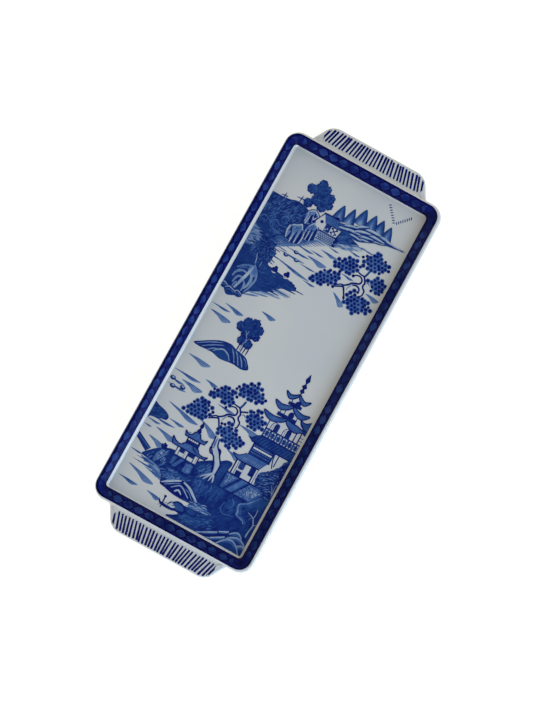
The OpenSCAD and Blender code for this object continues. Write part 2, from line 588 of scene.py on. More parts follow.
def fitted(foot, lean, length):
    """The length of a stroke, shortened until its end lies inside the handle's edge."""
    while edge_distance(foot[0] + math.cos(lean) * length, foot[1] + math.sin(lean) * length) < edge_gap:
        length -= trim
    return length


inner_half = (0.66, 0.78)
outer_half = (0.84, 0.98)


def make_stripes(end_name, gap, length, hand):
    points, faces = [], []
    for i in range(stroke_count):
        place = 2 * i / (stroke_count - 1) - 1
        lean = math.radians(-stroke_lean * math.sin(place * math.pi / 2) + hand.uniform(-1.8, 1.8))
        foot = (gap + hand.uniform(-0.3, 0.3), place * stroke_span / 2 + hand.uniform(-0.28, 0.28))
        reach = fitted(foot, lean, length + hand.uniform(-0.5, 0.3))
        shape = stroke_shape(reach, hand.uniform(*inner_half), hand.uniform(*outer_half))
        lay_stroke(handle_ends[end_name], points, faces, foot, lean, shape)
    node = f"stripes_{end_name}"
    make_piece(f"brushed_{node}", points, faces, brushed_blue, "underglaze_blue", node)


make_stripes("far", 2.5, 12.3, random.Random(4))
make_stripes("near", 2.3, 13.4, random.Random(9))

# %% [markdown]
# ## The printed border
# A chain of lens-shaped links runs round the rim between two dark edge lines, and a plain dark block
# closes each corner. It was printed on a thin sheet and laid on the sloping wall a little off centre,
# so the white lip is wider on one long side. Its pieces are thin solids that follow the rim's curve:
# a grid of places in plan, each raised to the height of the rim there.

# %% Height of the rim anywhere in plan

border_inset = 2.0
border_w = 6.8
border_shift = 1.3
corner_l = 12.0
across_steps = 26


def rim_height(x, y):
    """Height of the rim's upper surface, or of the floor, over a place in plan."""
    dx, dy = abs(x) - run_x, abs(y) - run_y
    n = math.hypot(dx, dy) if dx > 0 and dy > 0 else max(dx, dy)
    lean = math.cos(math.radians(tilt))
    slope_top, slope_foot = lip_c[0] - lip_r * lean, cove_c[0] + cove_r * lean
    if n >= slope_top:
        return lip_c[1] + math.sqrt(max(lip_r**2 - (n - lip_c[0]) ** 2, 0))
    if n >= slope_foot:
        lip_end = lip_c[1] + lip_r * math.sin(math.radians(tilt))
        return lip_end - (slope_top - n) * math.tan(math.radians(wall_slope))
    return cove_c[1] - math.sqrt(cove_r**2 - max(n - cove_c[0], 0) ** 2)


# %% A strip of the border


def border_strip(stations, points, faces, places):
    """A thin solid along stations of (axis x, axis y, out x, out y, distance along)."""
    outer = rim_r - border_inset
    loops = []
    for axis_x, axis_y, out_x, out_y, along in stations:
        loop = []
        for lift, steps in ((colour_t, range(across_steps + 1)), (-sink, range(across_steps, -1, -1))):
            for step in steps:
                across = step / across_steps
                r = outer - border_w * across
                x, y = axis_x + out_x * r, axis_y + out_y * r
                loop.append((x, y, rim_height(x, y) + lift))
                places.append((along, across - 0.5, 0))
        loops.append(loop)
    size, first = len(loops[0]), len(points)
    strip_points, strip_faces = join_loops(loops)
    last = size * (len(loops) - 1)
    strip_faces = strip_faces[:-size]
    strip_faces += [list(range(size)), list(range(last, last + size))[::-1]]
    points.extend(strip_points)
    faces.extend([[first + k for k in face] for face in strip_faces])


def set_places(piece, places):
    """Stores where each point lies in the pattern: along in mm, across from -0.5 to 0.5."""
    layer = piece.data.attributes.new("place", "FLOAT_VECTOR", "POINT")
    layer.data.foreach_set("vector", [number for place in places for number in place])


# %% [markdown]
# The chain is drawn by the finish itself. Along the strip, |cos| makes a row of lens-shaped links. A dark
# strand follows their outline and crosses itself between links, small violet wedges fill the gaps, and
# two lines close the edges. The links differ in depth, as prints do, so noise lightens some of them.

# %% The chain printed blue

link_pitch = 9.1
link_half = 0.34
strand_half = 0.075
deep_blue = (0.0005, 0.0013, 0.04, 1)
line_blue = (0.001, 0.002, 0.03, 1)
link_blue = (0.002, 0.009, 0.085, 1)
pale_link = (0.014, 0.038, 0.17, 1)
wedge_violet = (0.003, 0.005, 0.085, 1)


def make_chain_blue():
    finish, shader, start = new_finish("chain_blue", IOR=1.5, Specular_IOR_Level=0.06)
    place = start.node("Attribute", {"attribute_name": "place"}, out=1)
    along = start.node("SeparateXYZ", None, {0: place}, out=0)
    across = abs(start.node("SeparateXYZ", None, {0: place}, out=1))
    link_edge = abs((along * (math.pi / link_pitch)).cosine()) * link_half
    inside = (link_edge - across).rises(0.0, strand_half)
    outside = (across - link_edge).rises(strand_half, strand_half * 2.2)
    edge_line = across.rises(0.41, 0.45)
    depth = noise(start, 9.0).rises(0.4, 0.62)
    wash = noise(start, 1.6, 3.0)
    ground = outside.mix(deep_blue, wedge_violet)
    links = (depth * 0.8 + wash * 0.3 - 0.1).mix(link_blue, pale_link)
    chain = edge_line.mix(inside.mix(ground, links), line_blue)
    under_glaze(shader, start, chain, 12.0)
    return finish


chain_blue = make_chain_blue()

# %% The four straight strips

strip_x = half_l - border_inset - corner_l
strip_y = half_w - border_inset - corner_l


def long_strip(side):
    return [(x, border_shift + side * run_y, 0, side, x) for x in (-strip_x * side, strip_x * side)][::-1]


def end_strip(end):
    return [(end * run_x, border_shift + y, end, 0, y) for y in (-strip_y * end, strip_y * end)]


strips = {
    "border_left": long_strip(1),
    "border_right": long_strip(-1),
    "border_far": end_strip(1),
    "border_near": end_strip(-1),
}
for node, stations in strips.items():
    points, faces, places = [], [], []
    border_strip(stations, points, faces, places)
    set_places(make_piece(f"printed_{node}", points, faces, chain_blue, "underglaze_blue", node), places)

# %% [markdown]
# The corner blocks turn through a quarter circle, with a short straight run at each end. They carry no
# chain, only a brushed-looking ground that is a little lighter in the middle.

# %% The four corner blocks

corner_blue = (0.002, 0.009, 0.12, 1)
corner_run = corner_l - (rim_r - border_inset)
corner_steps = 12


def make_corner_colour():
    finish, shader, start = new_finish("corner_blue", IOR=1.5, Specular_IOR_Level=0.06)
    place = start.node("Attribute", {"attribute_name": "place"}, out=1)
    across = abs(start.node("SeparateXYZ", None, {0: place}, out=1))
    middle = 1 - across.rises(0.2, 0.44)
    wash = noise(start, 3.0, 3.0)
    under_glaze(shader, start, (middle * wash.rises(0.25, 0.75)).mix(deep_blue, corner_blue), 12.0)
    return finish


def corner_stations(side_x, side_y, quarter):
    """A short run, a quarter turn and a short run about one corner's axis."""
    axis_x, axis_y = side_x * run_x, border_shift + side_y * run_y
    angles = [(quarter + step / corner_steps) * math.pi / 2 for step in range(corner_steps + 1)]
    turn = [(axis_x, axis_y, math.cos(a), math.sin(a)) for a in angles]
    first, last = turn[0], turn[-1]
    lead = (axis_x + corner_run * first[3], axis_y - corner_run * first[2], first[2], first[3])
    trail = (axis_x - corner_run * last[3], axis_y + corner_run * last[2], last[2], last[3])
    return [station + (k,) for k, station in enumerate([lead] + turn + [trail])]


points, faces, places = [], [], []
for quarter, (side_x, side_y) in enumerate(corner_signs):
    border_strip(corner_stations(side_x, side_y, quarter), points, faces, places)
node = "border_corners"
set_places(
    make_piece(f"printed_{node}", points, faces, make_corner_colour(), "underglaze_blue", node), places,
)

# %% [markdown]
# ## The landscape printed in the well
# The picture is a transfer print: an engraver cut lines, dots and hatching into a copper plate, and the
# cobalt was laid on the tray from a paper sheet. It could be one painted image, but image files are not
# used here. Instead each motif is drawn with flat patches, brush strokes and dots that lie on the floor
# like the colour does, a few hundredths of a millimetre thick. A number on every point says how deep its
# tone is, from 0 (left white) to 1 (navy), and one finish turns tones into blues.

# %% The printed blue

tone_stops = [
    (0.0, white),
    (0.25, (0.23, 0.31, 0.43, 1)),
    (0.5, (0.05, 0.115, 0.30, 1)),
    (0.75, (0.011, 0.046, 0.185, 1)),
    (1.0, (0.002, 0.005, 0.105, 1)),
]


def make_printed_blue():
    finish, shader, start = new_finish("printed_blue", IOR=1.5)
    tone = start.node("Attribute", {"attribute_name": "tone"}, out=2)
    stipple = noise(start, 0.45, 2.0) - 0.5
    wash = noise(start, 6.0, 3.0) - 0.5
    depth = tone + tone.rises(0.05, 0.25) * (stipple * 0.3 + wash * 0.36)
    under_glaze(shader, start, start.node("ValToRGB", {"stops": tone_stops}, {0: depth}), 18.0)
    return finish


printed_blue = make_printed_blue()

# %% [markdown]
# Places in the picture are given in millimetres from the middle of the print: u to the right and v up
# towards the far handle. Outlines have few points, and a smooth curve through them gives the round
# shapes.

# %% Curves in the picture

print_left, print_right = -56.6, 57.3
print_near, print_far = -149.5, 148.0
coat_t = 0.02
leaf_t = 0.0004
leaves = 17


def smooth(path, closed=False, steps=5):
    """Points of a smooth curve through a few given ones."""
    count = len(path)
    if count < 3:
        return list(path)
    curve = []
    for k in range(count if closed else count - 1):
        if closed:
            near = [path[(k + step) % count] for step in (-1, 0, 1, 2)]
        else:
            near = [path[min(max(k + step, 0), count - 1)] for step in (-1, 0, 1, 2)]
        a, b, c, d = (Vector(p) for p in near)
        for step in range(steps):
            t = step / steps
            swing = (c - a) * t + (2 * a - 5 * b + 4 * c - d) * t**2 + (3 * b - a - 3 * c + d) * t**3
            curve.append(tuple(b + swing / 2))
    return curve if closed else curve + [tuple(path[-1])]


# %% Inside and outside of an outline


def sides_of(outline):
    return zip(outline, list(outline[1:]) + [outline[0]])


def area(outline):
    return sum(a[0] * b[1] - b[0] * a[1] for a, b in sides_of(outline)) / 2


def crossings(outline, height):
    """Where a level line crosses an outline, from left to right."""
    found = []
    for (u0, v0), (u1, v1) in sides_of(outline):
        if (v0 > height) != (v1 > height):
            found.append(u0 + (height - v0) / (v1 - v0) * (u1 - u0))
    return sorted(found)


def inner_spans(outline, height):
    """The stretches of a level line that lie inside an outline."""
    ends = crossings(outline, height)
    return list(zip(ends[::2], ends[1::2]))


def holds(outline, u, v):
    return any(start < u < end for start, end in inner_spans(outline, v))


def places_inside(outline, count, hand):
    """Random places inside an outline."""
    us, vs = zip(*outline)
    found = []
    while len(found) < count:
        u, v = hand.uniform(min(us), max(us)), hand.uniform(min(vs), max(vs))
        if holds(outline, u, v):
            found.append((u, v))
    return found


# %% Simple outlines


def turned(path, degrees):
    c, s = math.cos(math.radians(degrees)), math.sin(math.radians(degrees))
    return [(u * c - v * s, u * s + v * c) for u, v in path]


def box_outline(left, right, low, high):
    return [(left, low), (right, low), (right, high), (left, high)]


def oval(centre, half_u, half_v, sides=14, scallop=0.0, lobes=9):
    """A round outline, with lobes round its edge if scallop isn't 0."""
    outline = []
    for k in range(sides):
        angle = 2 * math.pi * k / sides
        reach = 1 + scallop * abs(math.sin(angle * lobes / 2))
        u, v = half_u * reach * math.cos(angle), half_v * reach * math.sin(angle)
        outline.append((centre[0] + u, centre[1] + v))
    return outline


# %% A motif of the print


class Motif:
    """Flat patches of printed colour, gathered into one piece. Higher coats lie over lower ones."""

    def __init__(self, name):
        self.name = name
        self.points, self.faces, self.tones = [], [], []

    def add(self, places, tone, coat):
        first = len(self.points)
        for u, v in places:
            x = min(max(v, print_near), print_far)
            y = border_shift - min(max(u, print_left), print_right)
            self.points.append((x, y, floor_z + coat * coat_t + len(self.faces) % leaves * leaf_t))
            self.tones.append(tone)
        return first

    def patch(self, outline, tone, coat, curved=True):
        """A filled outline."""
        outline = smooth(outline, closed=True) if curved else list(outline)
        if area(outline) < 0:
            outline.reverse()
        first = self.add(outline, tone, coat)
        self.faces.append(range(first, first + len(outline)))

    def brush(self, path, width, tone, coat, ends=(0.3, 0.3)):
        """A stroke, full in the middle and narrowed to a share of its width at the ends."""
        path = [Vector(p) for p in smooth(path)]
        last = len(path) - 1
        sides = []
        for k, place in enumerate(path):
            along = (path[min(k + 1, last)] - path[max(k - 1, 0)]).normalized()
            end = ends[0] if 2 * k < last else ends[1]
            half = width / 2 * (end + (1 - end) * math.sin(math.pi * k / last))
            out = Vector((-along.y, along.x)) * half
            sides += [place - out, place + out]
        first = self.add(sides, tone, coat)
        for k in range(first, first + 2 * last, 2):
            self.faces.append((k, k + 2, k + 3, k + 1))

    def block(self, outline, tone, coat):
        """A filled outline with straight sides."""
        self.patch(outline, tone, coat, curved=False)

    def line(self, path, width, tone, coat):
        """A stroke of even width."""
        self.brush(path, width, tone, coat, ends=(1, 1))

    def dots(self, centres, radius, tone, coat, sides=9):
        for centre in centres:
            self.block(oval(centre, radius, radius, sides), tone, coat)

    def hatch(self, outline, lean, gap, width, tone, coat):
        """Parallel strokes across an outline."""
        outline = turned(outline, -lean)
        levels = [v for u, v in outline]
        height = min(levels) + gap / 2
        while height < max(levels):
            for start, end in inner_spans(outline, height):
                self.line(turned([(start, height), (end, height)], lean), width, tone, coat)
            height += gap

    def scatter(self, outline, count, radius, tone, coat, hand):
        """Random specks inside an outline."""
        for place in places_inside(outline, count, hand):
            self.dots([place], radius * hand.uniform(0.7, 1.3), tone, coat, sides=6)

    def strokes(self, outline, count, length, width, lean, tones, coat, hand):
        """Short, slightly bent strokes strewn inside an outline, with tones between two limits."""
        for u, v in places_inside(outline, count, hand):
            half = length * hand.uniform(0.35, 0.65)
            bent = [(-half, 0), (0, hand.uniform(0, 0.35) * half), (half, 0)]
            bent = turned(bent, lean + hand.uniform(-14, 14))
            self.brush([(u + a, v + b) for a, b in bent], width, hand.uniform(*tones), coat)

    def lay(self):
        piece = make_piece(f"print_{self.name}", self.points, self.faces, printed_blue, "underglaze_blue")
        layer = piece.data.attributes.new("tone", "FLOAT", "POINT")
        layer.data.foreach_set("value", self.tones)


# %% [markdown]
# ### Water, birds and stones
# Still water is left white and told by a few slivers of hatching: a level upper edge, a belly below it
# and darker lines along the top. Two rows of short dashes are a flock of birds.

# %% Water and stones

water_tone = 0.41


def water(motif, left, right, level, belly, fall=0.0):
    """A sliver of shaded water: level above, deepest towards its right end, with darker lines."""
    length = right - left

    def at(share, depth):
        return (left + share * length, level - share * fall - depth * belly)

    motif.patch([
        at(0, 0), at(0.5, -0.08), at(1, 0.2), at(0.9, 0.7), at(0.68, 1), at(0.4, 0.5),
    ], water_tone, 1)
    for depth in (0.06, 0.3, 0.55):
        line = [at(depth * 0.8, depth), at(0.5, depth + 0.02), at(1 - depth * 0.3, depth + 0.16)]
        motif.brush(line, 0.55, 0.7 - 0.25 * depth, 2)


def pebble(motif, centre, half_u, half_v):
    """A dark stone in the water with a lighter top."""
    motif.patch(oval(centre, half_u, half_v), 0.92, 3)
    motif.patch(oval((centre[0] + 0.2, centre[1] + 0.3 * half_v), 0.55 * half_u, 0.45 * half_v), 0.3, 4)


# %% The far water

far_water = Motif("far_water")
for sliver in [
    (-2, 13, 88.2, 2.6), (-9, 3, 84, 1.3), (-9, 8.5, 79, 4.2), (20.7, 32, 79.6, 2),
    (45, 57.3, 74.8, 4), (24, 37.5, 104.6, 1.1), (17.5, 28, 98.2, 1.6), (3, 12, 92.8, 1.2),
    (22.5, 34.5, 63.8, 5, 5), (-3, 8, 60.4, 1.6), (-34, 1.5, 66.8, 2.4, 4.5), (-19, -6.2, 23.6, 3.6),
    (-46.6, -29.8, 15.8, 3.4, 1.2), (-56.5, -40, 11.6, 1.8), (-54.5, -36, 6.4, 4.6, 0.8),
    (-12, 3, 70.6, 1.2), (-33, -8, 72.6, 1.6), (-27, -6, 77.4, 1.6), (-21, -5, 82.6, 1.6),
]:
    water(far_water, *sliver)
for centre in [(-17.6, 76.8), (-23.8, 71.3), (-14.6, 71.3)]:
    pebble(far_water, centre, 2.0, 1.4)
far_water.lay()

# %% The near water

near_water = Motif("near_water")
for sliver in [
    (-52.5, -33, -32.0, 4.4), (-31.5, -20.5, -43.4, 3.0), (-57, -33.5, -47.0, 2.6),
    (-47.5, -29, -52.0, 4.8), (-57, -44, -54.6, 2.0), (-57, -40, -59.0, 1.8), (-14, 1, -55.6, 2.4),
    (-48, -20, -71.5, 3.8, 4.6), (-19.5, -2, -72.0, 5.6, 5.5), (-41.5, -28, -83.0, 2.4),
    (-57, -34, -87.0, 1.8), (-57, -45, -90.0, 1.6), (-57, -50, -95.0, 1.0), (-47, -28, -93.4, 4.4, 1.6),
    (-49, -34, -101.4, 4.6, 1.6), (8, 27, -61.4, 4.2), (9, 22, -82.6, 4.0, 1.5), (-57, -46, -116.4, 1.4),
    (-50, -33, -119.4, 1.5), (-52, -30, -122.6, 1.5), (-40, -23, -124.4, 2.4, 1.0),
    (-52, -28, -127.2, 4.6, 4.6), (-55, -38, -138.5, 2.8), (-30, -17, -139.3, 3.4, 0.6),
]:
    water(near_water, *sliver)
for centre in [(-54.0, -54.2), (-43.8, -57.5), (-51.3, -59.8)]:
    pebble(near_water, centre, 2.3, 1.7)
near_water.lay()

# %% Birds

flock = 8
birds = Motif("birds")
for start, end, lean in [((29.2, 145.4), (38.2, 134.2), 30), ((48.8, 144.0), (40.4, 135.0), 125)]:
    for k in range(flock):
        u = start[0] + (end[0] - start[0]) * k / (flock - 1)
        v = start[1] + (end[1] - start[1]) * k / (flock - 1)
        wings = turned([(-1.15, 0), (0, 0.1), (1.15, 0)], lean)
        birds.brush([(u + a, v + b) for a, b in wings], 0.85, 0.9, 1, ends=(0.6, 0.6))
birds.lay()

# %% [markdown]
# ### Trees with dotted leaves
# Two fruit trees have the stock leaf clusters of such prints: dark dots with paler petals between them,
# thinning out to single dots at the edge. The dots are set in staggered rows inside an outline and then
# shaken a little. Branches are drawn by their dark outlines, and the wood between them is left white.

# %% Leaf clusters

dot_gap = 3.25
row_share = 0.84
petal_share = 0.7


def shrunk(outline, share):
    """The outline drawn in towards its middle."""
    middle = sum((Vector(p) for p in outline), Vector((0, 0))) / len(outline)
    return [tuple(middle + (Vector(p) - middle) * share) for p in outline]


def leaf_cluster(motif, outline, hand):
    edge = smooth(outline, closed=True)
    heart = shrunk(edge, 0.66)
    motif.block(heart, 0.54, 4)
    us, vs = zip(*edge)
    for row in range(int((max(vs) - min(vs)) / dot_gap / row_share) + 1):
        for column in range(int((max(us) - min(us)) / dot_gap) + 2):
            u = min(us) + (column + 0.5 * (row % 2)) * dot_gap + hand.uniform(-0.6, 0.6)
            v = max(vs) - 1.0 - row * dot_gap * row_share + hand.uniform(-0.5, 0.5)
            if holds(edge, u, v):
                if hand.random() < petal_share:
                    motif.block(oval((u, v), 1.6, 1.6, 18, 0.2, 7), 0.56, 5)
                motif.dots([(u, v)], hand.uniform(1.12, 1.38), 0.98, 6)


# %% Looping branches


def branches(motif, shift_u, shift_v):
    """Looping branches: a blue stem, then dark outlines with the wood left white between them."""

    def moved(path):
        return [(u + shift_u, v + shift_v) for u, v in path]

    motif.line(moved([(40.2, 92.4), (39.5, 89), (38.4, 85.8)]), 1.7, 0.76, 3)
    motif.line(moved([(40, 83.2), (42.6, 84.6), (45.6, 85.8)]), 1.4, 0.9, 3)
    upper = [
        (32.4, 86.8), (35, 86.2), (38, 85.8), (39.8, 83.6), (41, 81.4), (40.6, 79), (41.6, 77.2),
        (43.4, 75.6), (43.4, 72), (42, 70.4),
    ]
    loop = [
        (30.2, 82.8), (33, 84.2), (35.6, 84.4), (37.8, 82.8), (38.2, 80.4), (37, 78.8), (34, 77.8),
        (31.8, 76.6), (30.4, 74.8), (27.2, 72.4), (24.4, 71.8), (21, 68.8),
    ]
    lower = [(33, 75.6), (35.6, 76.6), (38, 76.2), (39.6, 74.4), (39.8, 71.8)]
    under = [(20.4, 67.6), (24.6, 70), (27.4, 71), (28.8, 69.2), (30.6, 66), (32.6, 62)]
    for path in (upper, loop, lower, under):
        motif.brush(moved(path), 1.45, 0.98, 3, ends=(0.7, 0.7))
    motif.brush(moved([(30.4, 69.8), (31, 72.6), (33, 75.4)]), 0.6, 0.6, 3)
    motif.brush(moved([(42, 81.6), (43.6, 82.6), (45.4, 81)]), 0.7, 0.7, 3)
    motif.brush(moved([(22, 68.8), (27, 71.7), (30, 73.8), (33, 76.4), (36, 77.8)]), 0.9, 0.32, 2.4)


# %% The far tree

hand = random.Random(21)
far_tree = Motif("far_tree")
for outline in [
    [
        (39.6, 107.8), (47.2, 105.6), (53.6, 100.8), (51.6, 96.6), (46.6, 92.4), (37, 91.8), (29.2, 95.4),
        (32, 101.6),
    ],
    [
        (25.7, 94.6), (33.2, 89.8), (30, 81.8), (25, 81.2), (16.6, 79.6), (11, 82.6), (13.6, 87.8),
        (18.8, 92.2),
    ],
    [(48.9, 91), (57.4, 86.4), (56.4, 80.2), (50, 77), (45.4, 80), (41.8, 84.8)],
    [(9.6, 78.2), (19.6, 77.9), (22.4, 70), (18, 66), (7, 62.6), (0.6, 61.8), (1, 68), (5.6, 73)],
    [(36.6, 73), (47.6, 70.6), (56.6, 64.4), (49.4, 57), (38.6, 56.4), (32, 61.6), (30.2, 65.4)],
]:
    leaf_cluster(far_tree, outline, hand)
branches(far_tree, 0, 0)
far_tree.lay()

# %% [markdown]
# ### Leafy crowns and rocks
# Broad trees are heaps of scalloped lobes, each darker round its edge and shaded with short leaf strokes.
# Rocks are pale on top and break into dark clefts below, with white edges between them.

# %% Crowns and rocks


def crown(motif, lobes, tone, hand, coat, edge):
    """A heap of scalloped lobes given as (u, v, radius)."""
    for u, v, r in lobes:
        motif.block(oval((u, v), 0.94 * r, 0.94 * r, 42, 0.16, 7), min(tone + edge, 1), coat)
        inside = oval((u - 0.08 * r, v + 0.1 * r), r * 0.84, r * 0.8, 42, 0.16, 7)
        motif.block(inside, tone, coat + 0.4)
        for lean in (35, -25):
            motif.strokes(
                inside, int(r * 1.8), 1.4, 0.45, lean, (tone - 0.22, tone - 0.08), coat + 0.8, hand,
            )
        motif.strokes(oval((u, v), r, r), int(r * 3), 2.0, 0.6, 70, (0.92, 1), coat + 0.8, hand)
        coat += 1.2


def crag(motif, outline, clefts, legs, coat, hand):
    """A rock with a pale, stippled top that breaks into dark clefts and white legs."""
    motif.patch(outline, 0.43, coat)
    motif.strokes(smooth(outline, closed=True), 56, 1.8, 0.5, 70, (0.54, 0.7), coat + 0.4, hand)
    motif.line(outline, 0.7, 0.86, coat + 0.8)
    motif.brush(shrunk(outline, 0.86)[:6], 1.2, 0.2, coat + 0.8)
    for cleft in clefts:
        motif.brush(cleft, 2.5, 0.95, coat + 1.2, ends=(0.3, 0.9))
    for leg in legs:
        motif.brush(leg, 1.0, 0.16, coat + 1.6, ends=(0.3, 0.8))


# %% The bank on the left

hand = random.Random(33)
far_bank = Motif("far_bank")
hill = [
    (-66, 108), (-58, 110.4), (-48, 110.5), (-41, 111.4), (-37, 112.7), (-31.6, 112.7), (-24, 110),
    (-12, 101), (-9.8, 95), (-13, 88.6), (-20, 83), (-28.6, 78.4), (-34.6, 72.6), (-35.4, 67.8),
    (-31.4, 64.6), (-32.4, 58.4), (-27, 57), (-12.5, 55.2), (-6.4, 53.2), (-3.2, 50.6), (-5.4, 48.8),
    (-14.6, 46), (-17, 42), (-25.6, 37.2), (-35, 32), (-39, 27.4), (-45.3, 23.2), (-49.8, 22), (-53, 24.8),
    (-58, 31), (-66, 40),
]
far_bank.patch(hill, 0.84, 1)
print(f"hill drawn with {len(hill)} points")

# %% Grass and shade on the hill

far_bank.patch([
    (-37, 78), (-28, 80), (-12, 92), (-7, 93.6), (-9, 90), (-18, 82.4), (-28, 76.4), (-36, 71.6),
], 0.42, 0.5)
brow = [(-57, 109), (-33, 111), (-20, 105), (-24, 98), (-34, 95), (-57, 95)]
for outline, count, length, width, lean, tones in [
    (brow, 150, 3.0, 0.6, 62, (0.5, 0.66)),
    (brow, 90, 2.6, 0.5, 48, (0.95, 1)),
    ([(-36, 92), (-24, 84), (-33, 74), (-45, 76), (-44, 86)], 90, 3.2, 0.55, 20, (0.5, 0.68)),
    ([(-50, 74), (-36, 72), (-33, 58), (-50, 58)], 80, 2.2, 0.55, 50, (0.55, 0.68)),
    ([(-50, 57), (-18, 55), (-8, 50), (-20, 42), (-33, 40), (-36, 48)], 80, 2.6, 0.5, 15, (0.66, 0.76)),
]:
    far_bank.strokes(outline, count, length, width, lean, tones, 3, hand)
far_bank.patch([(-62, 82), (-54, 81), (-50, 77), (-50.5, 72), (-54, 67), (-62, 66)], 0.56, 2)
far_bank.strokes([
    (-57, 82), (-53, 81), (-48, 77), (-48, 71), (-52, 65), (-57, 63),
], 70, 3.4, 0.6, 14, (0.28, 0.46), 3, hand)

# %% Bushes and twigs on the hill

for u, v, r in [(-44, 72.4, 4.0), (-38, 71.6, 3.8), (-34, 67.2, 3.2), (-42, 65, 5.0), (-36, 62, 4.0)]:
    far_bank.block(oval((u, v), r, r, 36, 0.2, 9), 0.86, 2 + 0.05 * u % 0.3)
    far_bank.strokes(oval((u, v), 0.9 * r, 0.9 * r), int(6 * r), 1.5, 0.55, 40, (0.62, 0.74), 3.4, hand)
    far_bank.strokes(oval((u, v), r, r), int(5 * r), 1.6, 0.55, 110, (0.96, 1), 3.4, hand)
for u, v, r in [
    (-52.5, 87.3, 3.7), (-37, 94, 3.6), (-47.6, 91.6, 3.4), (-43, 87.2, 4.2), (-40.6, 81.2, 3.2),
]:
    crown(far_bank, [(u, v, r)], 0.72, hand, coat=4, edge=0.16)
    sunlit = [(u + r * a, v + r * b) for a, b in [(-1, 0.1), (-0.6, 0.85), (0.2, 1.06), (0.95, 0.4)]]
    far_bank.brush(sunlit, 0.7, 0.52, 6)
for u, v, reach in [(-34, 116, 4.0), (-46.6, 112, 3.0)]:
    far_bank.brush([(u - reach, v - 0.5), (u, v), (u + reach, v - 0.2)], 0.9, 0.8, 3)
    far_bank.brush([(u - 0.5, v - 4.2), (u, v), (u + 0.4, v + 2.6)], 0.9, 0.8, 3)
    far_bank.brush([(u + 0.4 * reach, v - 1.8), (u + 0.6 * reach, v + 1.5)], 0.6, 0.75, 3)

# %% The shore of the hill

for k in range(13):
    u = -35 + 2.2 * k + hand.uniform(-1, 1)
    v = 76 + 1.3 * k
    far_bank.brush([
        (u - 4, v + 1.2), (u + 2, v + 0.9), (u + 8.5, v + 0.4),
    ], 0.9, hand.uniform(0.4, 0.62), 3)
    far_bank.brush([(u - 1, v - 0.3), (u + 6, v - 0.8)], 0.5, hand.uniform(0.2, 0.3), 3.4)
for start, end, width, tone in [
    ((-16, 49.6), (3.5, 50.4), 1.1, 0.78), ((-20, 47), (-2.4, 47.8), 1.3, 0.84),
    ((-22, 43.2), (-4.6, 43.4), 1.2, 0.7), ((-28, 39.6), (-13, 40.6), 1.2, 0.8),
    ((-30, 37.4), (-15, 38.6), 1.2, 0.72), ((-20, 42), (-6, 42.2), 1.2, 0.36),
    ((-28, 36.4), (-11, 38.8), 1.4, 0.38), ((-36, 32), (-20, 35.6), 1.6, 0.42),
    ((-38, 28.6), (-27, 32.4), 1.6, 0.44), ((-17, 44.4), (-4.4, 45), 0.8, 0.2),
    ((-20, 39), (-11.6, 39.8), 0.7, 0.22), ((-30, 35), (-22, 36.6), 0.5, 0.3),
    ((-37, 71.4), (-28.6, 70.8), 1.1, 0.7), ((-37, 69.2), (-30.4, 68.6), 1.0, 0.56),
    ((-36, 66.2), (-26.4, 65.4), 1.2, 0.62), ((-35, 62.6), (-28.2, 61.6), 1.0, 0.7),
    ((-35, 60.2), (-28.8, 59.6), 1.0, 0.55), ((-33, 74.2), (-24, 73.6), 0.9, 0.5),
]:
    middle = ((start[0] + end[0]) / 2, (start[1] + end[1]) / 2 + 0.2)
    far_bank.brush([start, middle, end], width, tone, 2 + 2 * (1 - tone))
far_bank.dots([(-9.4, 53.8), (-7, 53), (-4.8, 51.6)], 1.2, 0.92, 1.6)
far_bank.brush([(-43.8, 61.8), (-42.2, 58), (-41.3, 53.4)], 0.7, 0.3, 6)
far_bank.brush([(-37.3, 57.6), (-37.2, 53.4)], 0.8, 0.2, 6)
for u, v in [(-25.6, 57.4), (-15.4, 57.8)]:
    far_bank.dots([(u - 1.1, v - 0.3), (u + 1.0, v - 0.4), (u + 0.3, v + 1.4)], 1.5, 0.97, 5)
    far_bank.brush([(u - 1.8, v - 2.4), (u, v - 2.9), (u + 1.9, v - 2.3)], 0.9, 0.08, 5)
far_bank.lay()

# %% The great leaf-shaped boulder

boulders = Motif("boulders")
boulders.patch([
    (-41.3, 53), (-37.6, 50.2), (-35.2, 46), (-34.2, 41.6), (-35, 37.4), (-37, 32), (-39.6, 28.6),
    (-46.6, 28.4), (-50.4, 31), (-52.8, 38), (-52.4, 44.8), (-48.8, 49.4), (-44.6, 51.8),
], 0.84, 4)
boulders.patch([
    (-41, 52), (-38, 49.8), (-36.2, 45.4), (-38, 43.6), (-40.6, 46.8), (-42.2, 44), (-44, 48.4),
], 0.42, 5)
for path, width, tone in [
    ([(-42, 51.2), (-47.6, 48.8), (-52.4, 44.8)], 1.9, 0.44),
    ([(-43.4, 48), (-48, 46.6), (-52.2, 41.4)], 0.8, 0.5),
    ([(-42.8, 44), (-47, 44.4), (-51.2, 41.4), (-52.4, 37)], 1.8, 0.4),
    ([(-44, 39.4), (-48.2, 38.8), (-50.2, 32.8)], 1.7, 0.42),
    ([(-45.6, 34.4), (-48, 33.6), (-48.6, 29.6)], 1.4, 0.42),
    ([(-41, 52.8), (-37, 48.6), (-35, 42.4), (-36.6, 34.6), (-38.6, 29.4)], 1.5, 0.4),
    ([(-41.6, 46.4), (-38.4, 42.4), (-38.2, 37), (-40, 32)], 2.2, 0.36),
    ([(-43.6, 38.2), (-40.8, 35), (-41, 29.4)], 1.7, 0.4),
    ([(-36.8, 41), (-36.4, 36), (-38.4, 31)], 0.8, 0.5),
    ([(-41, 50.6), (-42.4, 44), (-45, 35.6), (-46.8, 29.4)], 2.4, 0.24),
]:
    boulders.brush(path, width, tone, 6, ends=(0.5, 0.5))
